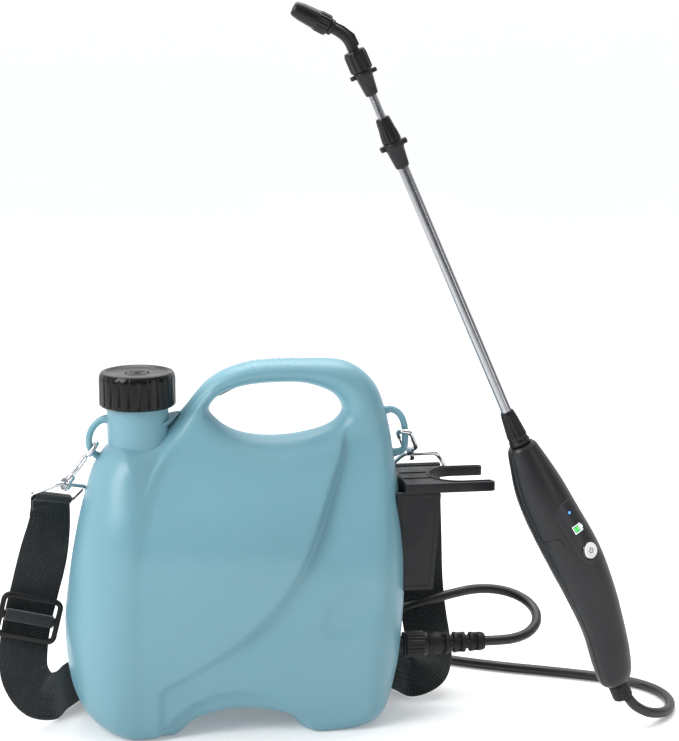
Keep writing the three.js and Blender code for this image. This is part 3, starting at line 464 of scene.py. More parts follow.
HOSE_RADIUS = 4.0
OUTLET_RUN = [[201.4, -14, 55], [213, -14, 55], [226, -12.5, 55.5], [239, -6, 57.5], [248, 5, 61.5],
              [251, 19.5, 66.5], [246.5, 33.5, 71.5], [236, 43.5, 75.5], [222, 48, 78], [206, 48.5, 78.5],
              [190, 46, 77], [174, 43, 74.5], [158, 41.5, 71], [143, 43, 66], [130, 49, 59],
              [118.5, 59, 50.5], [108, 69, 42.5], [97, 78, 35], [86, 86, 28.5], [74, 91, 22.5]]
INTO_COIL = [[61, 92.6, 17], [46, 95, 13.2], [32, 101, 12.1], [22, 110, 11.6], [15.5, 120, 8.4]]
WAND_RUN = [[99, 168, 4.1], [121, 151, 4.1], [146, 125, 4.1], [172, 102, 4.1], [204, 80, 4.1],
            [238, 62, 4.1], [272, 46.5, 4.1], [304, 30.5, 4.1], [326, 17, 4.1], [342, 0, 4.1],
            [349.5, -19, 4.1], [349.5, -38, 4.1], [343, -54, 4.6], [332, -66.5, 7],
            [318.5, -75, 12], [307.5, -79, 19.5], [301.6, -80, 26.5]]
COIL_MIDDLE = (48, 138)
COIL_START, COIL_TURNS = math.radians(-178), 2.33
COIL_RADII = (34.5, 53.0)            # the spiral's first and last radius
COIL_HEIGHT, LEAD_IN_RISE = 4.1, 1.2


def coil_run():
    """The flat coil's turns, which start a little higher, where the hose comes down to them."""
    points = []
    steps = 34
    for i in range(steps + 1):
        t = i / steps
        a = COIL_START - 2 * math.pi * COIL_TURNS * t
        r = COIL_RADII[0] + (COIL_RADII[1] - COIL_RADII[0]) * t
        height = COIL_HEIGHT + LEAD_IN_RISE * (1 - smooth(t * 14))
        points.append([COIL_MIDDLE[0] + r * math.cos(a), COIL_MIDDLE[1] + r * math.sin(a), height])
    return points


hose_route = spline(OUTLET_RUN + INTO_COIL + coil_run() + WAND_RUN, 620)
hose_curve = bpy.data.curves.new("hose", "CURVE")
hose_curve.dimensions = "3D"
hose_curve.bevel_depth = HOSE_RADIUS * 0.001
hose_curve.bevel_resolution = 6
hose_curve.use_fill_caps = True
hose_line = hose_curve.splines.new("POLY")
hose_line.points.add(len(hose_route) - 1)
for point, place in zip(hose_line.points, hose_route):
    point.co = (*at(*place), 1)
hose = bpy.data.objects.new("hose", hose_curve)
scene.collection.objects.link(hose)
hose_curve.materials.append(M["hose"])
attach(hose, "tank_body")
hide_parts("hose_outlet_run", "hose_coil", "hose_wand_run")

TIE_PLACE = (TANK_FRAME @ Matrix.Translation((COIL_MIDDLE[0] - 46.5, COIL_MIDDLE[1] + 8, 4.9))
             @ Matrix.Rotation(math.radians(-9), 4, "Z") @ quarter_turn("X"))
tie_loop = [corners(34, 9.6, 4.4, 8), corners(31.6, 8.3, 4.0, 8)]
tie = piece("hose_tie", "tank_body", plate("hose_tie", tie_loop, -6, 6, TIE_PLACE, 0.3),
            "rubber")


# ---------- tank ----------

HALF_DEPTH, HANDLE_HALF = 57, 17     # half of the tank's depth at its body and its handle
ROUNDING = 2.1                       # the power of the rounding towards the tank's outline
NECK_FLOOR, NECK_CUT = 206, 20.9     # how deep the filler neck opens the shell, and its radius
RIDGE_PITCH, RIDGE_HEIGHT = 5.4, 0.55
OUTLINE = [
    [-60, -6, 15], [-88, -6, 18], [-112, 6, 30], [-126, 30, 42], [-131.5, 78, 46], [-128, 115, 46],
    [-122, 150, 46], [-114, 184, 42], [-104, 212, 36], [-88, 228, 26], [-64, 231, 20], [-50, 236, 17],
    [-36, 251, 17], [-16, 273, 17], [10, 284.5, 17], [55, 287, 17], [92, 283.5, 17], [112, 268, 17],
    [122, 244, 17], [129, 205, 20], [134, 160, 26], [136.5, 118, 32], [134.5, 70, 34], [130, 36, 32],
    [118, 4, 22], [98, -6, 18], [54, -6, 14], [38, 7, 14], [4, 14, 14], [-30, 8, 14], [-46, -4, 14]]
WINDOW = [[-16.5, 250], [-9, 260], [8, 266.5], [34, 269], [62, 267], [82, 257.5], [87.5, 246], [80, 236],
          [58, 228.5], [28, 226.5], [4, 231.5], [-10, 240.5]]
PANEL_EDGE = [[40, -60], [62, -20], [78, 4], [100, 28], [125, 46], [160, 62], [195, 76], [214, 84],
              [250, 92]]
LEFT_CREASE = [[-16, 266], [-24, 257], [-36, 243], [-48, 228], [-62, 207], [-73, 181], [-80, 160]]
ARCH_CREASE = [[-62, 2], [-50, 16], [-36, 27], [-18, 34], [2, 36.5], [22, 32], [36, 24], [50, 12],
               [58, 0]]


def between(value, pairs):
    """The second number of the pairs at a value of their first."""
    return float(np.interp(value, [a for a, _ in pairs], [b for _, b in pairs]))


def beyond(x, z, line):
    """How far a place is to the right of a line drawn upwards or leftwards, in mm."""
    best, signed = 1e9, 0.0
    for (x0, z0), (x1, z1) in zip(line, line[1:]):
        dx, dz = x1 - x0, z1 - z0
        t = min(1.0, max(0.0, ((x - x0) * dx + (z - z0) * dz) / (dx * dx + dz * dz)))
        gap = math.hypot(x - x0 - t * dx, z - z0 - t * dz)
        if gap < best:
            best = gap
            signed = math.copysign(gap, dx * (z - z0) - dz * (x - x0))
    return signed


def soft_max(a, b, blend=4.0):
    """The larger of two heights, rounded over where they are close."""
    gap = max(blend - abs(a - b), 0.0) / blend
    return max(a, b) + gap * gap * blend / 4


def half_thickness(x, z):
    """Half of the tank's depth at a place of its outline, with its panel, creases and dimple."""
    depth = HALF_DEPTH - HANDLE_HALF
    panel = HANDLE_HALF + depth * smooth((252 - z) / 115)
    band = HANDLE_HALF + (depth - 2) * smooth((249 - z) / 128)
    shoulder = HANDLE_HALF + depth * smooth((286 - z) / 140) * smooth((-22 - x) / 62)
    edge = between(z, PANEL_EDGE) - x
    share = smooth(edge / 7 + 0.5)
    fade = smooth((edge + 46) / 40) * smooth((238 - z) / 16) * smooth((z - 52) / 40)
    groove = 2.4 * fade * smooth(0.5 - edge / 5)
    half = soft_max(band + (panel - band) * share, shoulder) - groove
    if z > 170:
        left = beyond(x, z, LEFT_CREASE)
        fade = smooth((z - 172) / 45) * smooth((274 - z) / 12)
        half -= 3.0 * fade * smooth(0.5 - left / 4) * smooth((left + 34) / 30)
    if z < 60 and -74 < x < 70:
        arch = beyond(x, z, ARCH_CREASE)
        half -= 2.8 * smooth(0.5 - arch / 5) * smooth((x + 74) / 14) * smooth((70 - x) / 14)
    u, w = (x - 89) * 0.77 + (z - 99) * 0.64, -(x - 89) * 0.64 + (z - 99) * 0.77
    inside = 1 - math.hypot(u / 33, w / 19)
    return half - 1.5 * smooth(inside / 0.42)


def tank_shell(sides, rows):
    """Points and faces in rows from the hand window to the outline, on both faces."""
    outline = spline(OUTLINE, 6000, True)
    window = spline(WINDOW, 6000, True)
    rim_tree, window_tree = KDTree(len(outline)), KDTree(len(window))
    for tree, loop in ((rim_tree, outline), (window_tree, window)):
        for i, p in enumerate(loop):
            tree.insert((p[0], p[1], 0), i)
        tree.balance()
    middle = (34, 247)               # the hand window's
    window_angles = np.arctan2(window[:, 1] - middle[1], window[:, 0] - middle[0])

    def angle(p):
        return math.atan2(p[1] - middle[1], p[0] - middle[0])

    start = before = angle(outline[0])
    turn = 0.0
    points, grid = [], {}
    for i in range(sides):
        out = outline[round(i * len(outline) / sides)]
        here = angle(out)
        turn += math.atan2(math.sin(here - before), math.cos(here - before))
        before = here
        aim = start + 0.5 * turn - 0.5 * 2 * math.pi * i / sides
        gap = np.abs(np.arctan2(np.sin(window_angles - aim), np.cos(window_angles - aim)))
        near = window[int(np.argmin(gap))]
        for j in range(rows + 1):
            share = 0.5 - 0.5 * math.cos(math.pi * j / rows)
            x, z = near[0] + (out[0] - near[0]) * share, near[1] + (out[1] - near[1]) * share
            if j in (0, rows):
                grid[i, j, -1] = grid[i, j, 1] = len(points)
                points.append((x, 0, z))
                continue
            _, index, to_rim = rim_tree.find((x, z, 0))
            edge = outline[index][2]
            _, _, to_window = window_tree.find((x, z, 0))
            half = half_thickness(x, z)
            for d, r in ((to_rim, edge), (to_window, HANDLE_HALF)):
                half *= 1 if d >= r else (1 - (1 - d / r) ** ROUNDING) ** (1 / ROUNDING)
            for side in (-1, 1):
                grid[i, j, side] = len(points)
                points.append((x, side * half, z))
    faces = []
    for i in range(sides):
        k = (i + 1) % sides
        for j in range(rows):
            for side in (-1, 1):
                face = [grid[i, j, side], grid[k, j, side], grid[k, j + 1, side], grid[i, j + 1, side]]
                faces.append(face if side < 0 else face[::-1])
    return points, faces


points, faces = tank_shell(600, 96)
tank = bmesh.new()
vertices = [tank.verts.new(p) for p in points]
for face in faces:
    tank.faces.new([vertices[i] for i in face])
for v in tank.verts:
    if v.co.z > NECK_FLOOR and math.hypot(v.co.x - CAP_X, v.co.y) < NECK_CUT:
        v.co.z = NECK_FLOOR
tank.normal_update()
for v in tank.verts:
    x, y, z = v.co
    if z > 272 and 8 < x < 50 and abs(y) < 13:
        ridge = max(0.0, math.cos((x - 11.5) / RIDGE_PITCH * 2 * math.pi)) ** 3
        v.co += v.normal * RIDGE_HEIGHT * ridge * smooth((13 - abs(y)) / 5)
bmesh.ops.bisect_plane(tank, geom=tank.verts[:] + tank.edges[:] + tank.faces[:], plane_co=(0, 0, 0),
                       plane_no=(0, 0, -1), clear_outer=True)
bmesh.ops.holes_fill(tank, edges=[e for e in tank.edges if e.is_boundary])
tank.transform(TANK_FRAME)
tank_mesh = bpy.data.meshes.new("tank_shell")
tank.to_mesh(tank_mesh)
tank.free()
NECK = TANK_FRAME @ Matrix.Translation((CAP_X, 0, 0))
piece("tank_shell", "tank_body", tank_mesh, "tank", ["tank"], sharp=50)

neck_outline = [(20.5, NECK_FLOOR), (23.7, NECK_FLOOR), (23.7, 255)]
for turn_height in (257.5, 262.5, 267.5):
    neck_outline += [(23.7, turn_height), (24.7, turn_height + 0.9), (24.7, turn_height + 1.6),
                     (23.7, turn_height + 2.5)]
neck_outline += [(23.7, 274.2), (22.9, 275), (21.2, 275), (20.5, 274.2), (20.5, NECK_FLOOR)]
piece("tank_neck", "tank_body",
      turned("tank_neck", rounded(neck_outline, 0.6), NECK, 96), "tank")

LUG_RADIUS, LUG_ROOT, LUG_RINGS = 2.6, 1.5, 60
for name, line in (
        ("strap_lug_left", [[-93, 0, 243.5], [-99, 0, 243], [-105.5, 0, 238], [-109, 0, 230.5],
                            [-109, 0, 222], [-105, 0, 216], [-98, 0, 213]]),
        ("strap_lug_right", [[118, 0, 243], [127, 0, 244.5], [133, 0, 241], [137, 0, 233],
                             [138, 0, 222], [136.5, 0, 212], [126, 0, 209]])):
    path = spline(line, LUG_RINGS)
    ends = np.minimum(np.arange(LUG_RINGS), np.arange(LUG_RINGS)[::-1])
    radii = LUG_RADIUS + LUG_ROOT * np.clip((14 - ends) / 14, 0, 1) ** 2
    piece(f"{name}_loop", "tank_body", tube(name, path, radii, sides=20), "tank", [name])


# ---------- filler cap ----------

CAP = TANK_FRAME @ Matrix.Translation((CAP_X, 0, 254))
CAP_RIBS = 24
cap_outline = [(25.0, 0, 0), (28.2, 0, 0), (29.5, 1.2, 0), (29.5, 2.4, 0.1), (29.5, 3.4, 0.9),
               (29.5, 20.6, 0.9), (29.4, 22.2, 0.5), (28.8, 24.6, 0.1), (27.6, 26.1, 0), (26.2, 26.5, 0),
               (24.8, 26.3, 0), (23.4, 25.4, 0), (22.6, 25.1, 0), (12, 24.9, 0), (8.2, 24.9, 0),
               (7.6, 25.3, 0), (6.4, 25.3, 0), (5.9, 24.9, 0), (3.7, 24.8, 0), (3.5, 24.2, 0),
               (3.5, 22.8, 0), (25.0, 22.8, 0)]
round_piece("cap_shell", "cap_body", "cap", "cap", CAP, cap_outline, CAP_RIBS * 16,
            CAP_RIBS, 9.0)
for i, spot in enumerate(((-8.6, 1.6), (8.8, 1.2))):
    piece(f"cap_mark_{i + 1}", "cap_body",
          turned("mark", rounded([(0, 24.4), (0.9, 24.4), (0.9, 25.5), (0, 25.5)], 0.3),
                 CAP @ Matrix.Translation((*spot, 0)), 16), "cap")


# ---------- outlet ----------

OUTLET = upright((127.5, -14, 55), (1, 0, 0))
nut_outline = [(7.4, 8.8), (9.6, 8.8, 0), (10.4, 9.6, 0.2), (10.6, 10.6, 0.75), (10.6, 22.6, 0.75),
               (10.3, 23.8, 0.3), (9.6, 24.4, 0), (9.4, 26.2, 0), (8.8, 27.0, 0), (5.0, 27.0, 0),
               (5.0, 24.6, 0), (7.4, 24.6, 0)]
round_piece("outlet_nut_ribbed", "outlet_nut_body", "black", "outlet_nut", OUTLET,
            nut_outline, 320, 20, 1.4)
RELIEF_RINGS, RING_PITCH, RING_TAPER = 5, 6.6, 0.28
relief_outline = [(4.4, 27.4), (8.4, 27.4), (8.7, 28.2), (8.8, 37.2)]
bridges = []
for i in range(RELIEF_RINGS):
    z, r = 39.6 + RING_PITCH * i, 8.8 - RING_TAPER * i
    relief_outline += [(r - 0.3, z - 1.9), (r - 2.4, z - 1.3), (r - 2.4, z + 1.1), (r - 0.3, z + 1.7),
                       (r - 0.1, z + 2.4), (r - 0.2, z + 4.2)]
    for half_turn in (0, 180):
        turn = Matrix.Rotation(math.radians(90 * (i % 2) + half_turn), 4, "Z")
        spot = OUTLET @ turn @ Matrix.Translation((r - 2.4, 0, z))
        bridges.append(plate("bridge", [corners(3.6, 5.6, 0.9, 3)], -2.2, 2.2, spot, 0.3, 2))
relief_outline += [(6.9, 72.4), (6.2, 73.5), (4.4, 73.5)]
relief = turned("strain_relief", relief_outline, OUTLET, 64, closed=True)
piece("strain_relief_ringed", "tank_body", merged("strain_relief", [relief, *bridges]),
      "rubber", ["strain_relief"], sharp=35)


# ---------- wand holder ----------

FLANGE = 3.4


def holder():
    """The bracket: a forked arm with a rim, two flanges with edgings and a ribbed back wall."""
    half, fork, fork_x, tip = 28.5, 22.5, 181.0, 204.0
    first, last = -math.pi / 2, -1.5 * math.pi
    below = [(134, -half), (fork_x, -half), (tip - 1.5, -half), (tip + 1, -half + 1.5),
             (tip + 1, -fork - 1.2), (tip - 0.6, -fork + 0.2), (fork_x, -fork)]
    above = [(x, -y) for x, y in reversed(below)]
    bite = arc(fork, first, last, 33, (fork_x, 0))[1:-1]
    inner, outer = (arc(fork + gap, first, last, 49, (fork_x, 0)) for gap in (0.9, 2.3))
    rim = [(tip - 1.5, -fork - 0.9), *inner, (tip - 1.5, fork + 0.9), (tip - 1.5, fork + 2.3),
           *outer[::-1], (tip - 1.5, -fork - 2.3)]
    parts = [plate("arm", [below + bite + above], 182.5, 190.2, TANK_FRAME, 0.7),
             plate("edge", [rim], 189.6, 191, TANK_FRAME, 0.35)]
    for y in (-9, 9):
        parts.append(plate("rib", [corners(22, 1.6, 0.7, 3, (146, y))], 189.8, 190.9, TANK_FRAME, 0.3))
    side = [(127, 183.5), (160.5, 183.5), (162, 181.5), (156, 104.6), (154.4, 104.2), (127, 104.2)]
    edging = [[(131, 181.5), (160.6, 181.5), (154.6, 105.8), (131, 105.8)],
              [(133, 179.4), (158.4, 179.4), (152.8, 107.9), (133, 107.9)]]
    for far_face, outer_face in ((-half + FLANGE, FLANGE), (half, 0.0)):
        spot = TANK_FRAME @ Matrix.Translation((0, far_face, 0)) @ quarter_turn("X")
        parts.append(plate("flange", [side], 0, FLANGE, spot, 0.6))
        parts.append(plate("edging", edging, outer_face - 0.35, outer_face + 0.35, spot, 0.25))
    across = TANK_FRAME @ quarter_turn("Z") @ quarter_turn("X")
    wall = [(-half + 1, 104.3), (half - 1, 104.3), (half - 1, 184), (-half + 1, 184)]
    parts.append(plate("wall", [wall], 134, 143, across, 0.4))
    for y in (-18, -9, 9, 18):
        parts.append(plate("stiffener", [corners(1.8, 70, 0.8, 3, (y, 145))], 142.6, 145, across, 0.4))
    return merged("wand_holder", parts)


piece("wand_holder_bracket", "tank_body", holder(), "satin", ["wand_holder"], sharp=35)


# ---------- shoulder strap ----------

STRAP = [
    [[-139.3, 18.2, 174.5], [0.7, 0.65, -0.28]], [[-142.5, 14.5, 153], [0.84, 0.42, -0.29]],
    [[-147.7, 8.2, 131.5], [0.955, 0.12, -0.27]], [[-153.9, 4.6, 108.8], [0.955, 0.12, -0.27]],
    [[-160.1, 1, 86], [0.955, 0.12, -0.27]], [[-164, -4, 64], [0.96, 0.12, -0.24]],
    [[-163.5, -9, 43], [0.92, 0.3, 0.25]], [[-154, -9, 27], [0.65, 0.35, 0.68]],
    [[-141, 2, 20.5], [0, 0.12, 0.99]], [[-132, 24, 19.8], [0, 0.05, 1]], [[-113, 52, 19.8], [0, 0, 1]],
    [[-80, 70, 19.8], [0, 0, 1]], [[-30, 79, 19.8], [0, 0, 1]], [[30, 79, 19.8], [0, 0, 1]],
    [[82, 73, 19.8], [0, 0, 1]], [[117, 56, 19.8], [0, 0, 1]], [[136, 30, 19.8], [0, 0, 1]],
    [[147, 13, 20.5], [0, 0.12, 0.99]], [[159, 13, 26], [-0.65, 0.35, 0.68]],
    [[164.5, 28, 35], [-0.95, 0.2, 0.3]], [[165, 46, 47], [-1, 0, 0]], [[163.5, 53, 62], [-1, 0, 0]],
    [[161, 53, 85], [-1, 0, 0]], [[158, 46, 130], [-1, 0, 0]], [[154.5, 37.5, 183.5], [-1, 0, 0]]]
WEB_WIDTH, WEB_THICK = 38.0, 1.9
STRAP_UP, FOLD_RADIUS = 3.4, 3.15    # from the webbing's end up to the ring's bar, and round it


def web_section(width, thick):
    """The webbing's cross-section as (across, through) places round it."""
    upper = [(-0.5, 0.0), (-0.496, 0.3), (-0.482, 0.44), (-0.45, 0.5), (-0.25, 0.5), (0, 0.5), (0.25, 0.5),
             (0.45, 0.5), (0.482, 0.44), (0.496, 0.3), (0.5, 0.0)]
    loop = upper + [(-u, -v) for u, v in upper[1:-1]]
    return [(u * width, v * thick) for u, v in loop]


def band(name, centres, widths, width=WEB_WIDTH, thick=WEB_THICK):
    """A strip of webbing along centres, each with the direction of its width, with a metric
    UV layer for the weave."""
    section = web_section(width, thick)
    centres, widths = np.asarray(centres, float), np.asarray(widths, float)
    tangents = np.gradient(centres, axis=0)
    tangents /= np.linalg.norm(tangents, axis=1)[:, None]
    points, places, length = [], [], 0.0
    for i, (c, w, t) in enumerate(zip(centres, widths, tangents)):
        if i:
            length += float(np.linalg.norm(c - centres[i - 1]))
        w = w - t * np.dot(w, t)
        w /= np.linalg.norm(w)
        f = np.cross(t, w)
        for u, v in section:
            points.append(tuple(c + w * u + f * v))
            places.append((length, u + (width + 4 if v < 0 else 0)))
    count, around = len(centres), len(section)
    faces = []
    for i in range(count - 1):
        for k in range(around):
            n = (k + 1) % around
            faces.append((i * around + k, (i + 1) * around + k, (i + 1) * around + n, i * around + n))
    faces.append(tuple(range(around)))
    faces.append(tuple(reversed(range((count - 1) * around, count * around))))
    mesh = mesh_of(name, points, faces)
    layer = mesh.uv_layers.new(name="weave")
    for loop in mesh.loops:
        layer.data[loop.index].uv = places[loop.vertex_index]
    return mesh


def strap_stations(count):
    """The strap's middle line and the direction of its width along it."""
    centres = np.array([p for p, _ in STRAP], float)
    across = np.array([w for _, w in STRAP], float)
    steps = np.linspace(0, 1, count)
    return (np.array([spline_point(centres, t) for t in steps]),
            np.array([spline_point(across, t) for t in steps]))


def fold(name, end, towards, reach=13.0):
    """The webbing's end, up from the strap, over the ring's bar and sewn down behind, and the
    place and directions of its sewn part."""
    start, width = Vector(end[0]), Vector(end[1]).normalized()
    up = (start - Vector(towards)).normalized()
    up = (up - width * up.dot(width)).normalized()
    out = up.cross(width).normalized()
    if out.y < 0:
        out = -out
    bar = start + Vector((0, 0, STRAP_UP))
    line = [start - up * 9, start - up * 4 - out * 0.5]
    for k in range(9):
        a = math.radians(-75 + 240 * k / 8)
        line.append(bar - out * FOLD_RADIUS * math.cos(a) + up * FOLD_RADIUS * math.sin(a))
    line.append(start - up * 6 + out * 2.15)
    for share in (0.5, 1.0):
        line.append(start - up * (6 + (reach - 6) * share) + out * 2.0)
    centres = spline([list(p) for p in line], 90)
    return band(name, centres, [list(width)] * len(centres)), (start, up, width, out)


def stitches(name, start, up, width, out, height=2.9, low=11.5, high=7.5):
    """A sewn box with a cross in it, as short raised threads."""
    w = WEB_WIDTH / 2 - 4
    runs = [((-w, low), (w, low)), ((-w, high), (w, high)), ((-w, low), (-w, high)),
            ((w, low), (w, high)), ((-w, low), (w, high)), ((w, low), (-w, high))]
    threads = []
    for (u0, d0), (u1, d1) in runs:
        count = max(3, round(math.hypot(u1 - u0, d1 - d0) / 3.4))
        for k in range(count):
            ends = []
            for t in ((k + 0.18) / count, (k + 0.82) / count):
                u, d = u0 + (u1 - u0) * t, d0 + (d1 - d0) * t
                ends.append(np.array(start + width * u - up * d + out * height))
            path = [ends[0], (ends[0] + ends[1]) / 2 + np.array(out) * 0.18, ends[1]]
            threads.append(tube("stitch", path, [0.2, 0.34, 0.2], sides=8))
    return merged(name, threads)


centres, widths = strap_stations(900)
piece("strap_band", "tank_body", band("strap_band", centres, widths), "webbing",
      ["strap_webbing"], sharp=60)
for side, end, towards in (("left", STRAP[0], STRAP[1][0]), ("right", STRAP[-1], STRAP[-2][0])):
    mesh, sewn_part = fold(f"strap_end_{side}", end, towards)
    piece(f"strap_end_{side}", "tank_body", mesh, "webbing", sharp=60)
    piece(f"strap_stitches_{side}", "tank_body",
          stitches(f"strap_stitches_{side}", *sewn_part), "thread")

ADJUSTER = facing((0.955, 0.12, -0.27), (0.26, 0.152, 0.954), (-159.5, -3.7, 87.7))


def slot_outline(low, high):
    return corners(41, high - low, 2.5, 4, (0, (low + high) / 2))


adjuster_outlines = [corners(49, 36, 7, 8), slot_outline(2, 13.5), slot_outline(-13.5, -2)]
piece("adjuster_frame", "adjuster_body",
      plate("adjuster_frame", adjuster_outlines, 0, 4, ADJUSTER, 1.1, 4), "black", ["strap_adjuster"],
      sharp=35)
roll = ADJUSTER @ Matrix.Translation((0, 0, 2)) @ quarter_turn("Y")
roll_outlines = [corners(9.2, 9, 3, 6), corners(5, 5, 0.8, 3)]
piece("adjuster_roll", "adjuster_body",
      plate("adjuster_roll", roll_outlines, -19, 19, roll, 0.35), "webbing", ["adjuster_loop"], sharp=60)


# ---------- rings and snap hooks ----------

RING_WIRE, RING_HALF = 1.6, 22.4
HOOK_WIRE, HOOK_EYE, HOOK_HALF = 1.9, 34.8, 5.4


def strap_fitting(side, lug_point, bar_point, end, away):
    """A ring in the webbing's end and the snap hook that hangs it on the tank's lug."""
    tunnel = Vector(end[0]) + Vector((0, 0, STRAP_UP))
    drop = Vector(bar_point) - tunnel
    shift = drop.dot(Vector(end[1]).normalized())
    h, w = math.sqrt(drop.length_squared - shift ** 2), RING_HALF
    right = [[10, 0, 0], [w - 2, 0, 0], [w, 2, 0], [w - 3.5, h / 2, 0], [w - 8, h - 2.5, 0], [11.5, h, 0],
             [5, h, 0]]
    left = [[-x, y, 0] for x, y, _ in reversed(right)]
    loop = [*left[-2:], *right, *left[:-2]]
    piece(f"ring_{side}", "tank_body",
          tube("ring", spline(loop, 150, True), RING_WIRE, facing(end[1], drop, tunnel), 18, True),
          "chrome", [f"strap_ring_{side}"])
    hook = facing(away, Vector(lug_point) - Vector(bar_point), bar_point)
    eye, half = HOOK_EYE, HOOK_HALF
    spine = [[0, 5.5, 0], [2.4, 9, 0], [half, 13, 0], [half, eye - 6, 0], [half, eye, 0],
             [half * 0.7, eye + half * 0.75, 0], [0, eye + half, 0], [-half * 0.7, eye + half * 0.75, 0],
             [-half, eye, 0], [-half, eye - 5.5, 0]]
    barrel = rounded([(0, 3.4), (2.6, 3.4), (3.3, 4.2), (3.3, 7.8), (2.5, 8.8), (0, 9.2)], 0.5)
    swivel = rounded([(2.2, -1.7), (5.0, -1.7), (5.3, 0), (5.0, 1.7), (2.2, 1.7), (2.2, -1.7)], 0.5)
    parts = [tube("spine", spline(spine, 90), HOOK_WIRE, hook, 18),
             turned("barrel", barrel, hook @ quarter_turn("X").inverted(), 32),
             turned("swivel", swivel, upright(bar_point, Vector(end[1]).normalized()), 40)]
    piece(f"hook_{side}", "tank_body", merged("hook", parts), "chrome", [f"snap_hook_{side}"],
          sharp=50)
    gate = [[-3.4, 10.2, 0], [-4.4, 12.5, 0], [-half, 17, 0], [-half, eye - 8.25, 0]]
    piece(f"gate_{side}_bar", f"gate_{side}", tube("gate", spline(gate, 30), 1.1, hook, 16),
          "chrome", [f"snap_gate_{side}"])


strap_fitting("left", (-107.6, 0, 219.5), (-128, 0, 192.9), STRAP[0], (0, 1, 0))
strap_fitting("right", (138, 0, 223), (147.5, 24, 202), STRAP[-1], (0.93, -0.37, 0))


# ---------- spray wand: its local frame ends at the grip's top, with Z up the wand ----------

LEAN = math.radians(23.5)
WAND = TANK_FRAME @ Matrix.Translation((212.4, -80, 231.8)) @ Matrix.Rotation(-LEAN, 4, "Y")
GRIP = [(0, 11, 0), (16, 14.6, 0), (35, 18.3, 0), (60, 20.3, 1.2), (97, 21.2, 4.4), (130, 19.2, 5.3),
        (160, 16.7, 4), (188, 15.5, 0), (202, 13.4, -2.4), (208, 10.6, -3.2)]
GRIP_LENGTH = GRIP[-1][0]
SEAM_LIFT = 0.11                     # half of the gap between the two grip halves
PANEL_TURN = math.radians(30)


def grip_at(depth):
    """The grip's radius and how far its middle is bowed, at a depth below its top."""
    rows = np.array(GRIP, float)
    t = float(np.interp(depth, rows[:, 0], np.linspace(0, 1, len(GRIP))))
    for _ in range(12):
        here = spline_point(rows, t)
        t = min(1, max(0, t - (here[0] - depth) / GRIP_LENGTH * 0.8))
    return float(here[1]), float(here[2])


def on_grip(depth, angle=PANEL_TURN):
    """A frame on the grip's middle at a depth: Z out through the angle, Y up the wand."""
    c, s = math.cos(angle), math.sin(angle)
    turn = Matrix(((c, 0, s), (s, 0, -c), (0, 1, 0))).to_4x4()
    return WAND @ Matrix.Translation((grip_at(depth)[1], 0, -depth)) @ turn


def grip_shell(name, front):
    """One half of the grip, a solid closed along the flat seam, its edges drawn in slightly."""
    top, rows, steps = [0.0, 0.5, 1.4], 96, 44
    depths = top + [3 + (GRIP_LENGTH - 6) * i / rows for i in range(rows + 1)]
    depths += [GRIP_LENGTH - d for d in reversed(top)]
    normal = np.array([math.sin(PANEL_TURN), -math.cos(PANEL_TURN)]) * (1 if front else -1)
    along = np.array([-normal[1], normal[0]])
    points, faces = [], []
    for d in depths:
        r, bow = grip_at(d)
        to_end = min(d, GRIP_LENGTH - d)
        r -= 1.3 * (1 - smooth(to_end / 2.4)) if to_end < 2.4 else 0
        for k in range(steps + 1):
            a = math.pi * k / steps
            to_seam = min(a, math.pi - a) * r
            here = r - 0.55 * (1 - smooth(to_seam / 0.75))
            offset = along * math.cos(a) * here + normal * (math.sin(a) * here + SEAM_LIFT)
            points.append((bow + offset[0], offset[1], -d))
    row = steps + 1
    for i in range(len(depths) - 1):
        for k in range(steps):
            faces.append((i * row + k, i * row + k + 1, (i + 1) * row + k + 1, (i + 1) * row + k))
        faces.append((i * row + steps, i * row, (i + 1) * row, (i + 1) * row + steps))
    faces.append(tuple(range(row)))
    faces.append(tuple(reversed(range((len(depths) - 1) * row, len(depths) * row))))
    mesh = mesh_of(name, points, faces, WAND)
    shape = bmesh.new()
    shape.from_mesh(mesh)
    bmesh.ops.recalc_face_normals(shape, faces=shape.faces)
    shape.to_mesh(mesh)
    shape.free()
    return mesh


def inlay(name, outline, depth, angle, proud, sink, bevel=0.35, steps=3, holes=()):
    """A thin panel that follows the grip's round surface: the outline is in mm across and
    along, and its top stands proud of the grip."""
    flat = plate(name, [outline, *holes], -sink, proud, Matrix(), bevel, steps)
    shape = bmesh.new()
    shape.from_mesh(flat)
    for axis, cuts, shortest in ((0, 40, 0), (1, 20, 20)):
        first, last = min(p[axis] for p in outline), max(p[axis] for p in outline)
        way = [1 - axis, axis, 0]
        for step in range(cuts if last - first > shortest else 0):
            place = first + (last - first) * (step + 0.5) / cuts
            bmesh.ops.bisect_plane(shape, geom=shape.verts[:] + shape.edges[:] + shape.faces[:],
                                   dist=1e-5, plane_co=[place * w for w in way], plane_no=way)
    c, s = math.cos(angle), math.sin(angle)
    for v in shape.verts:
        x, y, z = v.co
        r, bow = grip_at(depth - y)
        across, up = (r + z) * math.sin(x / r), (r + z) * math.cos(x / r)
        v.co = (bow + across * c + up * s, across * s - up * c, y - depth)
    bmesh.ops.recalc_face_normals(shape, faces=shape.faces)
    shape.to_mesh(flat)
    shape.free()
    flat.transform(WAND)
    return flat


for side in ("front", "back"):
    piece(f"grip_{side}", "handle", grip_shell(f"grip_{side}", side == "front"), "grip",
          [f"handle_shell_{side}"], sharp=35)

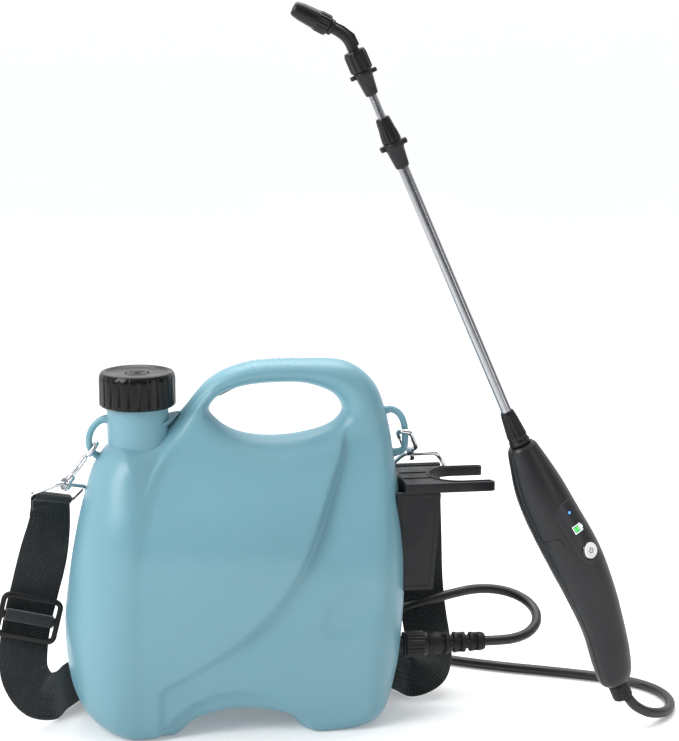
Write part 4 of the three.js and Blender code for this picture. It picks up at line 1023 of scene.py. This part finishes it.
PANEL_DEPTH, LIGHT_DEPTH, GAUGE_DEPTH, BUTTON_DEPTH = 77, 59, 73, 93
BUTTON_RADIUS, COLLAR_RADII = 6.1, (6.35, 7.2)
PRINT_TOP, PRINT_THICK = 0.84, 0.2
right_edge = [[6, -25], [9.6, -19.5], [11, -12], [11.4, 2], [11, 20], [9.6, 24.6], [5.5, 26.8]]
left_edge = [[-x, y] for x, y in reversed(right_edge)]
panel_line = spline([[0, 27], *left_edge, [0, -26.8], *right_edge], 90, True)
button_hole = oval(6.9, 6.9, 48, (0, PANEL_DEPTH - BUTTON_DEPTH))
panel = inlay("panel_inlay", [tuple(p) for p in panel_line], PANEL_DEPTH, PANEL_TURN, 0.7, 1.6, 0.5,
              holes=[button_hole])
piece("panel_inlay", "handle", panel, "panel", ["control_panel"], sharp=50)


def printed(name, outlines, depth, look, replaces=()):
    """Marks on the panel, from outlines across and along the grip at a depth."""
    meshes = [inlay(name, outline, depth, PANEL_TURN, PRINT_TOP, PRINT_THICK - PRINT_TOP, 0.03, 1)
              for outline in outlines]
    return piece(name, "handle", merged(name, meshes), look, replaces, sharp=50)


def strip(x0, y0, x1, y1):
    """A rectangle's outline from two of its corners."""
    return [(x1, y1), (x0, y1), (x0, y0), (x1, y0)]


printed("battery_outline", [
    strip(-4.4, 2.5, 3.6, 3.1), strip(-4.4, -3.1, 3.6, -2.5), strip(-4.4, -2.5, -3.8, 2.5),
    strip(3.0, -2.5, 3.6, 2.5), strip(3.9, -1.3, 4.7, 1.3)], GAUGE_DEPTH, "lit_white",
    ["battery_display"])
bars = [strip(x, -1.9, x + 1.5, 1.9) for x in (-3.2, -1.2, 0.9)]
printed("battery_bars", bars[:2], GAUGE_DEPTH, "green")
printed("battery_bar_spare", bars[2:], GAUGE_DEPTH, "lit_white")
printed("status_light", [oval(1.1, 1.1, 20)], LIGHT_DEPTH, "lit_blue", ["status_led"])

BUTTON_SPOT = on_grip(BUTTON_DEPTH)
button_top = [(0, 20.75), (BUTTON_RADIUS, 20.75), (BUTTON_RADIUS, 22.6), (5.9, 23.0), (5.4, 23.1),
              (4.6, 23.0), (2.5, 22.8), (0, 22.75)]
piece("button_cap", "button",
      turned("button_cap", rounded(button_top, 0.35), BUTTON_SPOT, 64), "white", ["power_button"])
outer_arc, inner_arc = (arc(r, math.radians(52), math.radians(-232), 40) for r in (2.1, 1.55))
piece("button_symbol", "button", merged("button_symbol", [
    plate("arc", [outer_arc + inner_arc[::-1]], 22.6, 22.92, BUTTON_SPOT, 0.05, 1),
    plate("bar", [strip(-0.28, 0.3, 0.28, 2.5)], 22.6, 22.92, BUTTON_SPOT, 0.05, 1)]), "grey", sharp=50)
inner, outer = COLLAR_RADII
ring_line = [(inner, 20.4), (outer, 20.4), (outer, 21.6), (6.9, 22.1), (6.6, 22.1), (inner, 21.7),
             (inner, 20.4)]
piece("button_collar", "handle", turned("button_collar", ring_line, BUTTON_SPOT, 64),
      "glass")

USB_TURN, USB_DEPTH = math.radians(-35), 78
lid = [inlay("lid", corners(15, 8.8, 3.2, 6), USB_DEPTH, USB_TURN, 0.75, 0.3, 0.35)]
for x in (-5.6, -3.8):
    lid.append(inlay("ridge", corners(1.0, 5, 0.45, 3, (x, 0)), USB_DEPTH, USB_TURN, 1.0, -0.5, 0.12))
piece("usb_lid", "usb_flap", merged("usb_lid", lid), "grip", ["usb_cover"], sharp=35)

FOOT = WAND @ Matrix.Translation((-3.2, 0, 0))
round_piece("foot_nut_ribbed", "foot_nut", "black", "hose_nut_handle", FOOT, [
    (4.3, -222), (7.0, -222, 0), (7.7, -221.2, 0.1), (7.9, -220.2, 0.55), (7.9, -211.2, 0.55),
    (7.6, -210, 0.1), (6.9, -209, 0), (4.3, -209, 0)], 256, 16, 1.4)


# ---------- the lance and its nuts ----------

def winged(name, body, node_name, outline, wings, hole, low, high, bevel):
    """A turned piece with two finger wings, drawn as one flat plate round it."""
    core = turned(name, outline, WAND, 64, closed=True)
    flat = plate("wings", [wings, hole], low, high, WAND, bevel)
    piece(name, body, merged(name, [core, flat]), "satin", [node_name], sharp=35)


round_piece("tube_nut_ribbed", "lance_nut", "black", "tube_nut", WAND, [
    (5.5, 1), (7.5, 1, 0), (8.0, 1.6, 0), (8.1, 3.8, 0), (7.4, 4.8, 0), (7.3, 6.6, 0), (7.6, 7.4, 0.1),
    (7.6, 8.4, 0.6), (5.9, 23.6, 0.5), (5.7, 25.0, 0.1), (5.3, 27.2, 0), (4.8, 28.4, 0), (4.05, 28.4, 0),
    (4.05, 9.4, 0), (5.5, 9, 0)], 224, 14, 1.4)
round_piece("outer_tube_steel", "handle", "steel", "outer_tube", WAND, [
    (3.4, -11.5), (3.75, -11.5), (4, -11.2), (4, 245.6), (3.8, 246), (3.4, 246)], 64)
winged("collar_winged", "handle", "collar_body", [
    (4.05, 229), (4.7, 229), (5.1, 229.8), (5.4, 231.6), (6.6, 243), (7.9, 245), (8, 246), (8, 248),
    (7.6, 248.6), (3.4, 248.6), (3.4, 246.6), (4.05, 246.4)],
    corners(21, 7, 2.4, 6), oval(5.2, 3.2), 244.6, 248.4, 0.7)
round_piece("clamp_nut_ribbed", "clamp_nut", "black", "collar_nut", WAND, [
    (5.2, 249.2), (6.7, 249.2, 0), (7.15, 249.9, 0.1), (7.2, 250.8, 0.5), (6.6, 256.5, 0.5),
    (6.2, 258.4, 0.3), (5.6, 264.6, 0), (5.2, 267.2, 0), (4.7, 268, 0), (3.5, 268, 0), (3.5, 258.2, 0),
    (5.2, 258, 0)], 224, 14, 1.4)
round_piece("inner_tube_steel", "lance", "steel", "inner_tube", WAND, [
    (2.1, 10), (2.8, 10), (3, 10.3), (3, 292.7), (2.8, 293), (2.1, 293)], 64)
winged("connector_winged", "lance", "tube_connector", [
    (3.05, 286), (4.2, 286), (4.7, 286.8), (4.9, 288.4), (6.3, 300), (7.3, 301.2), (7.4, 302),
    (7.4, 303.4), (7.0, 304), (4.6, 304), (4.6, 312.6), (4.2, 313), (2, 313), (2, 294), (3.05, 293.8)],
    corners(20.5, 6.4, 2.2, 6), oval(4.6, 2.9), 300.6, 303.6, 0.6)
round_piece("coupling_nut_ribbed", "elbow_nut", "black", "coupling_nut", WAND, [
    (5.1, 304.6), (7.4, 304.6, 0), (8.1, 305.2, 0.05), (8.4, 306.4, 0.7), (8.4, 316.6, 0.7),
    (8.0, 318.6, 0.2), (7.3, 320, 0), (4.5, 320, 0), (4.5, 313.8, 0), (5.1, 313.6, 0)], 240, 12, 1.2)

ELBOW = [[0, 0, 314], [0, 0, 322], [-0.8, 0, 330], [-4.4, 0, 337], [-9, 0, 342.8]]
NOZZLE_JOINT, NOZZLE_WAY = (-9.4, 0, 343.3), (-0.638, 0, 0.77)
TIP = upright(NOZZLE_JOINT, NOZZLE_WAY, WAND)
flange_outline = [(0, -3.6), (4.4, -3.4), (5.7, -2.8), (5.9, -2.2), (5.9, -0.5), (5.6, 0), (0, 0)]
fin_outline = [(2.4, 321.6), (5.6, 323), (5.2, 331), (0.6, 339), (-4, 344.3), (-6.2, 342.7), (-1.6, 335)]
bend = merged("elbow_bend", [
    tube("bend", spline(ELBOW, 60), 4, WAND, 32),
    turned("flange", rounded(flange_outline, 0.3), TIP, 64),
    plate("fin", [fin_outline], -1.1, 1.1, WAND @ quarter_turn("X"), 0.5)])
piece("elbow_bend", "elbow_body", bend, "satin", ["elbow"], sharp=35)
round_piece("spray_tip_ribbed", "tip_body", "black", "spray_tip", TIP, [
    (4.6, 0.4), (7.0, 0.4, 0), (7.6, 1.2, 0.05), (7.8, 2.2, 0.6), (7.8, 8.4, 0.6), (7.4, 9.8, 0.1),
    (7.1, 10.6, 0), (6.95, 11.4, 0), (6.4, 22, 0), (5.6, 26.6, 0), (5.2, 27.8, 0), (4.3, 28.7, 0),
    (2.1, 28.7, 0), (0.9, 26, 0), (0.9, 22.2, 0), (4.6, 22, 0)], 256, 16, 1.3)


# ---------- CAD pieces that keep their shape ----------

KEPT = {
    "rubber": ["cap_gasket", "vent_valve", "outlet_seal", "collet"],
    "black": ["outlet_fitting", "pump_head", "hose_barb", "tube_socket"],
    "steel": ["inlet_strainer", "holder_screw_upper", "holder_screw_lower", "handle_screw_1",
              "handle_screw_2", "handle_screw_3", "button_switch", "pump_motor", "usb_socket"],
    "board": ["circuit_board"], "cell": ["battery_cell"], "brass": ["nozzle_core"]}
for look, names in KEPT.items():
    for name in names:
        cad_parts[name].data.materials[0] = M[look]


# ---------- floor, light and finish ----------

FLOOR_HALF = 30000
floor_mesh = mesh_of("floor", [(x * FLOOR_HALF, y * FLOOR_HALF, 0)
                               for x, y in ((-1, -1), (1, -1), (1, 1), (-1, 1))], [(0, 1, 2, 3)])
floor = bpy.data.objects.new("floor", floor_mesh)
scene.collection.objects.link(floor)
floor_mesh.materials.append(material(
    "pale_floor", (0.84, 0.84, 0.84), 0.55, tint=0.01, tint_scale=1.5, rough_vary=0.05, bump=0.01,
    bump_scale=60, Emission_Color=(1, 1, 1, 1), Emission_Strength=0.2))

# The studio is bright behind the object and above it, and dimmer in front.
world = bpy.data.worlds.new("studio")
scene.world = world
world.use_nodes = True
sky, sky_links = world.node_tree.nodes, world.node_tree.links
way = node(sky, "ShaderNodeTexCoord")
parts = node(sky, "ShaderNodeSeparateXYZ")
sky_links.new(way.outputs["Generated"], parts.inputs["Vector"])
total = node(sky, "ShaderNodeMath", operation="ADD")
for share, (axis, ranges) in zip(total.inputs, (
        ("Y", {"From Min": -0.3, "From Max": 0.8, "To Min": 0.16, "To Max": 1.06}),
        ("Z", {"From Min": 0.35, "From Max": 0.95, "To Max": 0.75}))):
    ramp = node(sky, "ShaderNodeMapRange", ranges, interpolation_type="SMOOTHSTEP")
    sky_links.new(parts.outputs[axis], ramp.inputs["Value"])
    sky_links.new(ramp.outputs["Result"], share)
sky["Background"].inputs["Color"].default_value = (0.97, 0.985, 1.0, 1)
sky_links.new(total.outputs["Value"], sky["Background"].inputs["Strength"])
scene.view_settings.view_transform = "Standard"
scene.view_settings.look = "None"


def softbox(name, place, aim, size, power):
    """A rectangular lamp aimed at a place, its size in metres and its power in watts."""
    lamp = bpy.data.lights.new(name, "AREA")
    lamp.shape = "RECTANGLE"
    lamp.size, lamp.size_y = size
    lamp.energy = power
    made = bpy.data.objects.new(name, lamp)
    scene.collection.objects.link(made)
    made.location = at(*place)
    made.rotation_mode = "QUATERNION"
    made.rotation_quaternion = (at(*aim) - at(*place)).to_track_quat("-Z", "Y")


softbox("key", (-1150, -650, 1050), (0, 0, 180), (0.6, 0.9), 17)
softbox("fill", (1250, -1100, 620), (100, 0, 200), (0.4, 1.1), 3)
softbox("top", (150, 450, 1500), (50, 0, 150), (1.4, 0.8), 16)
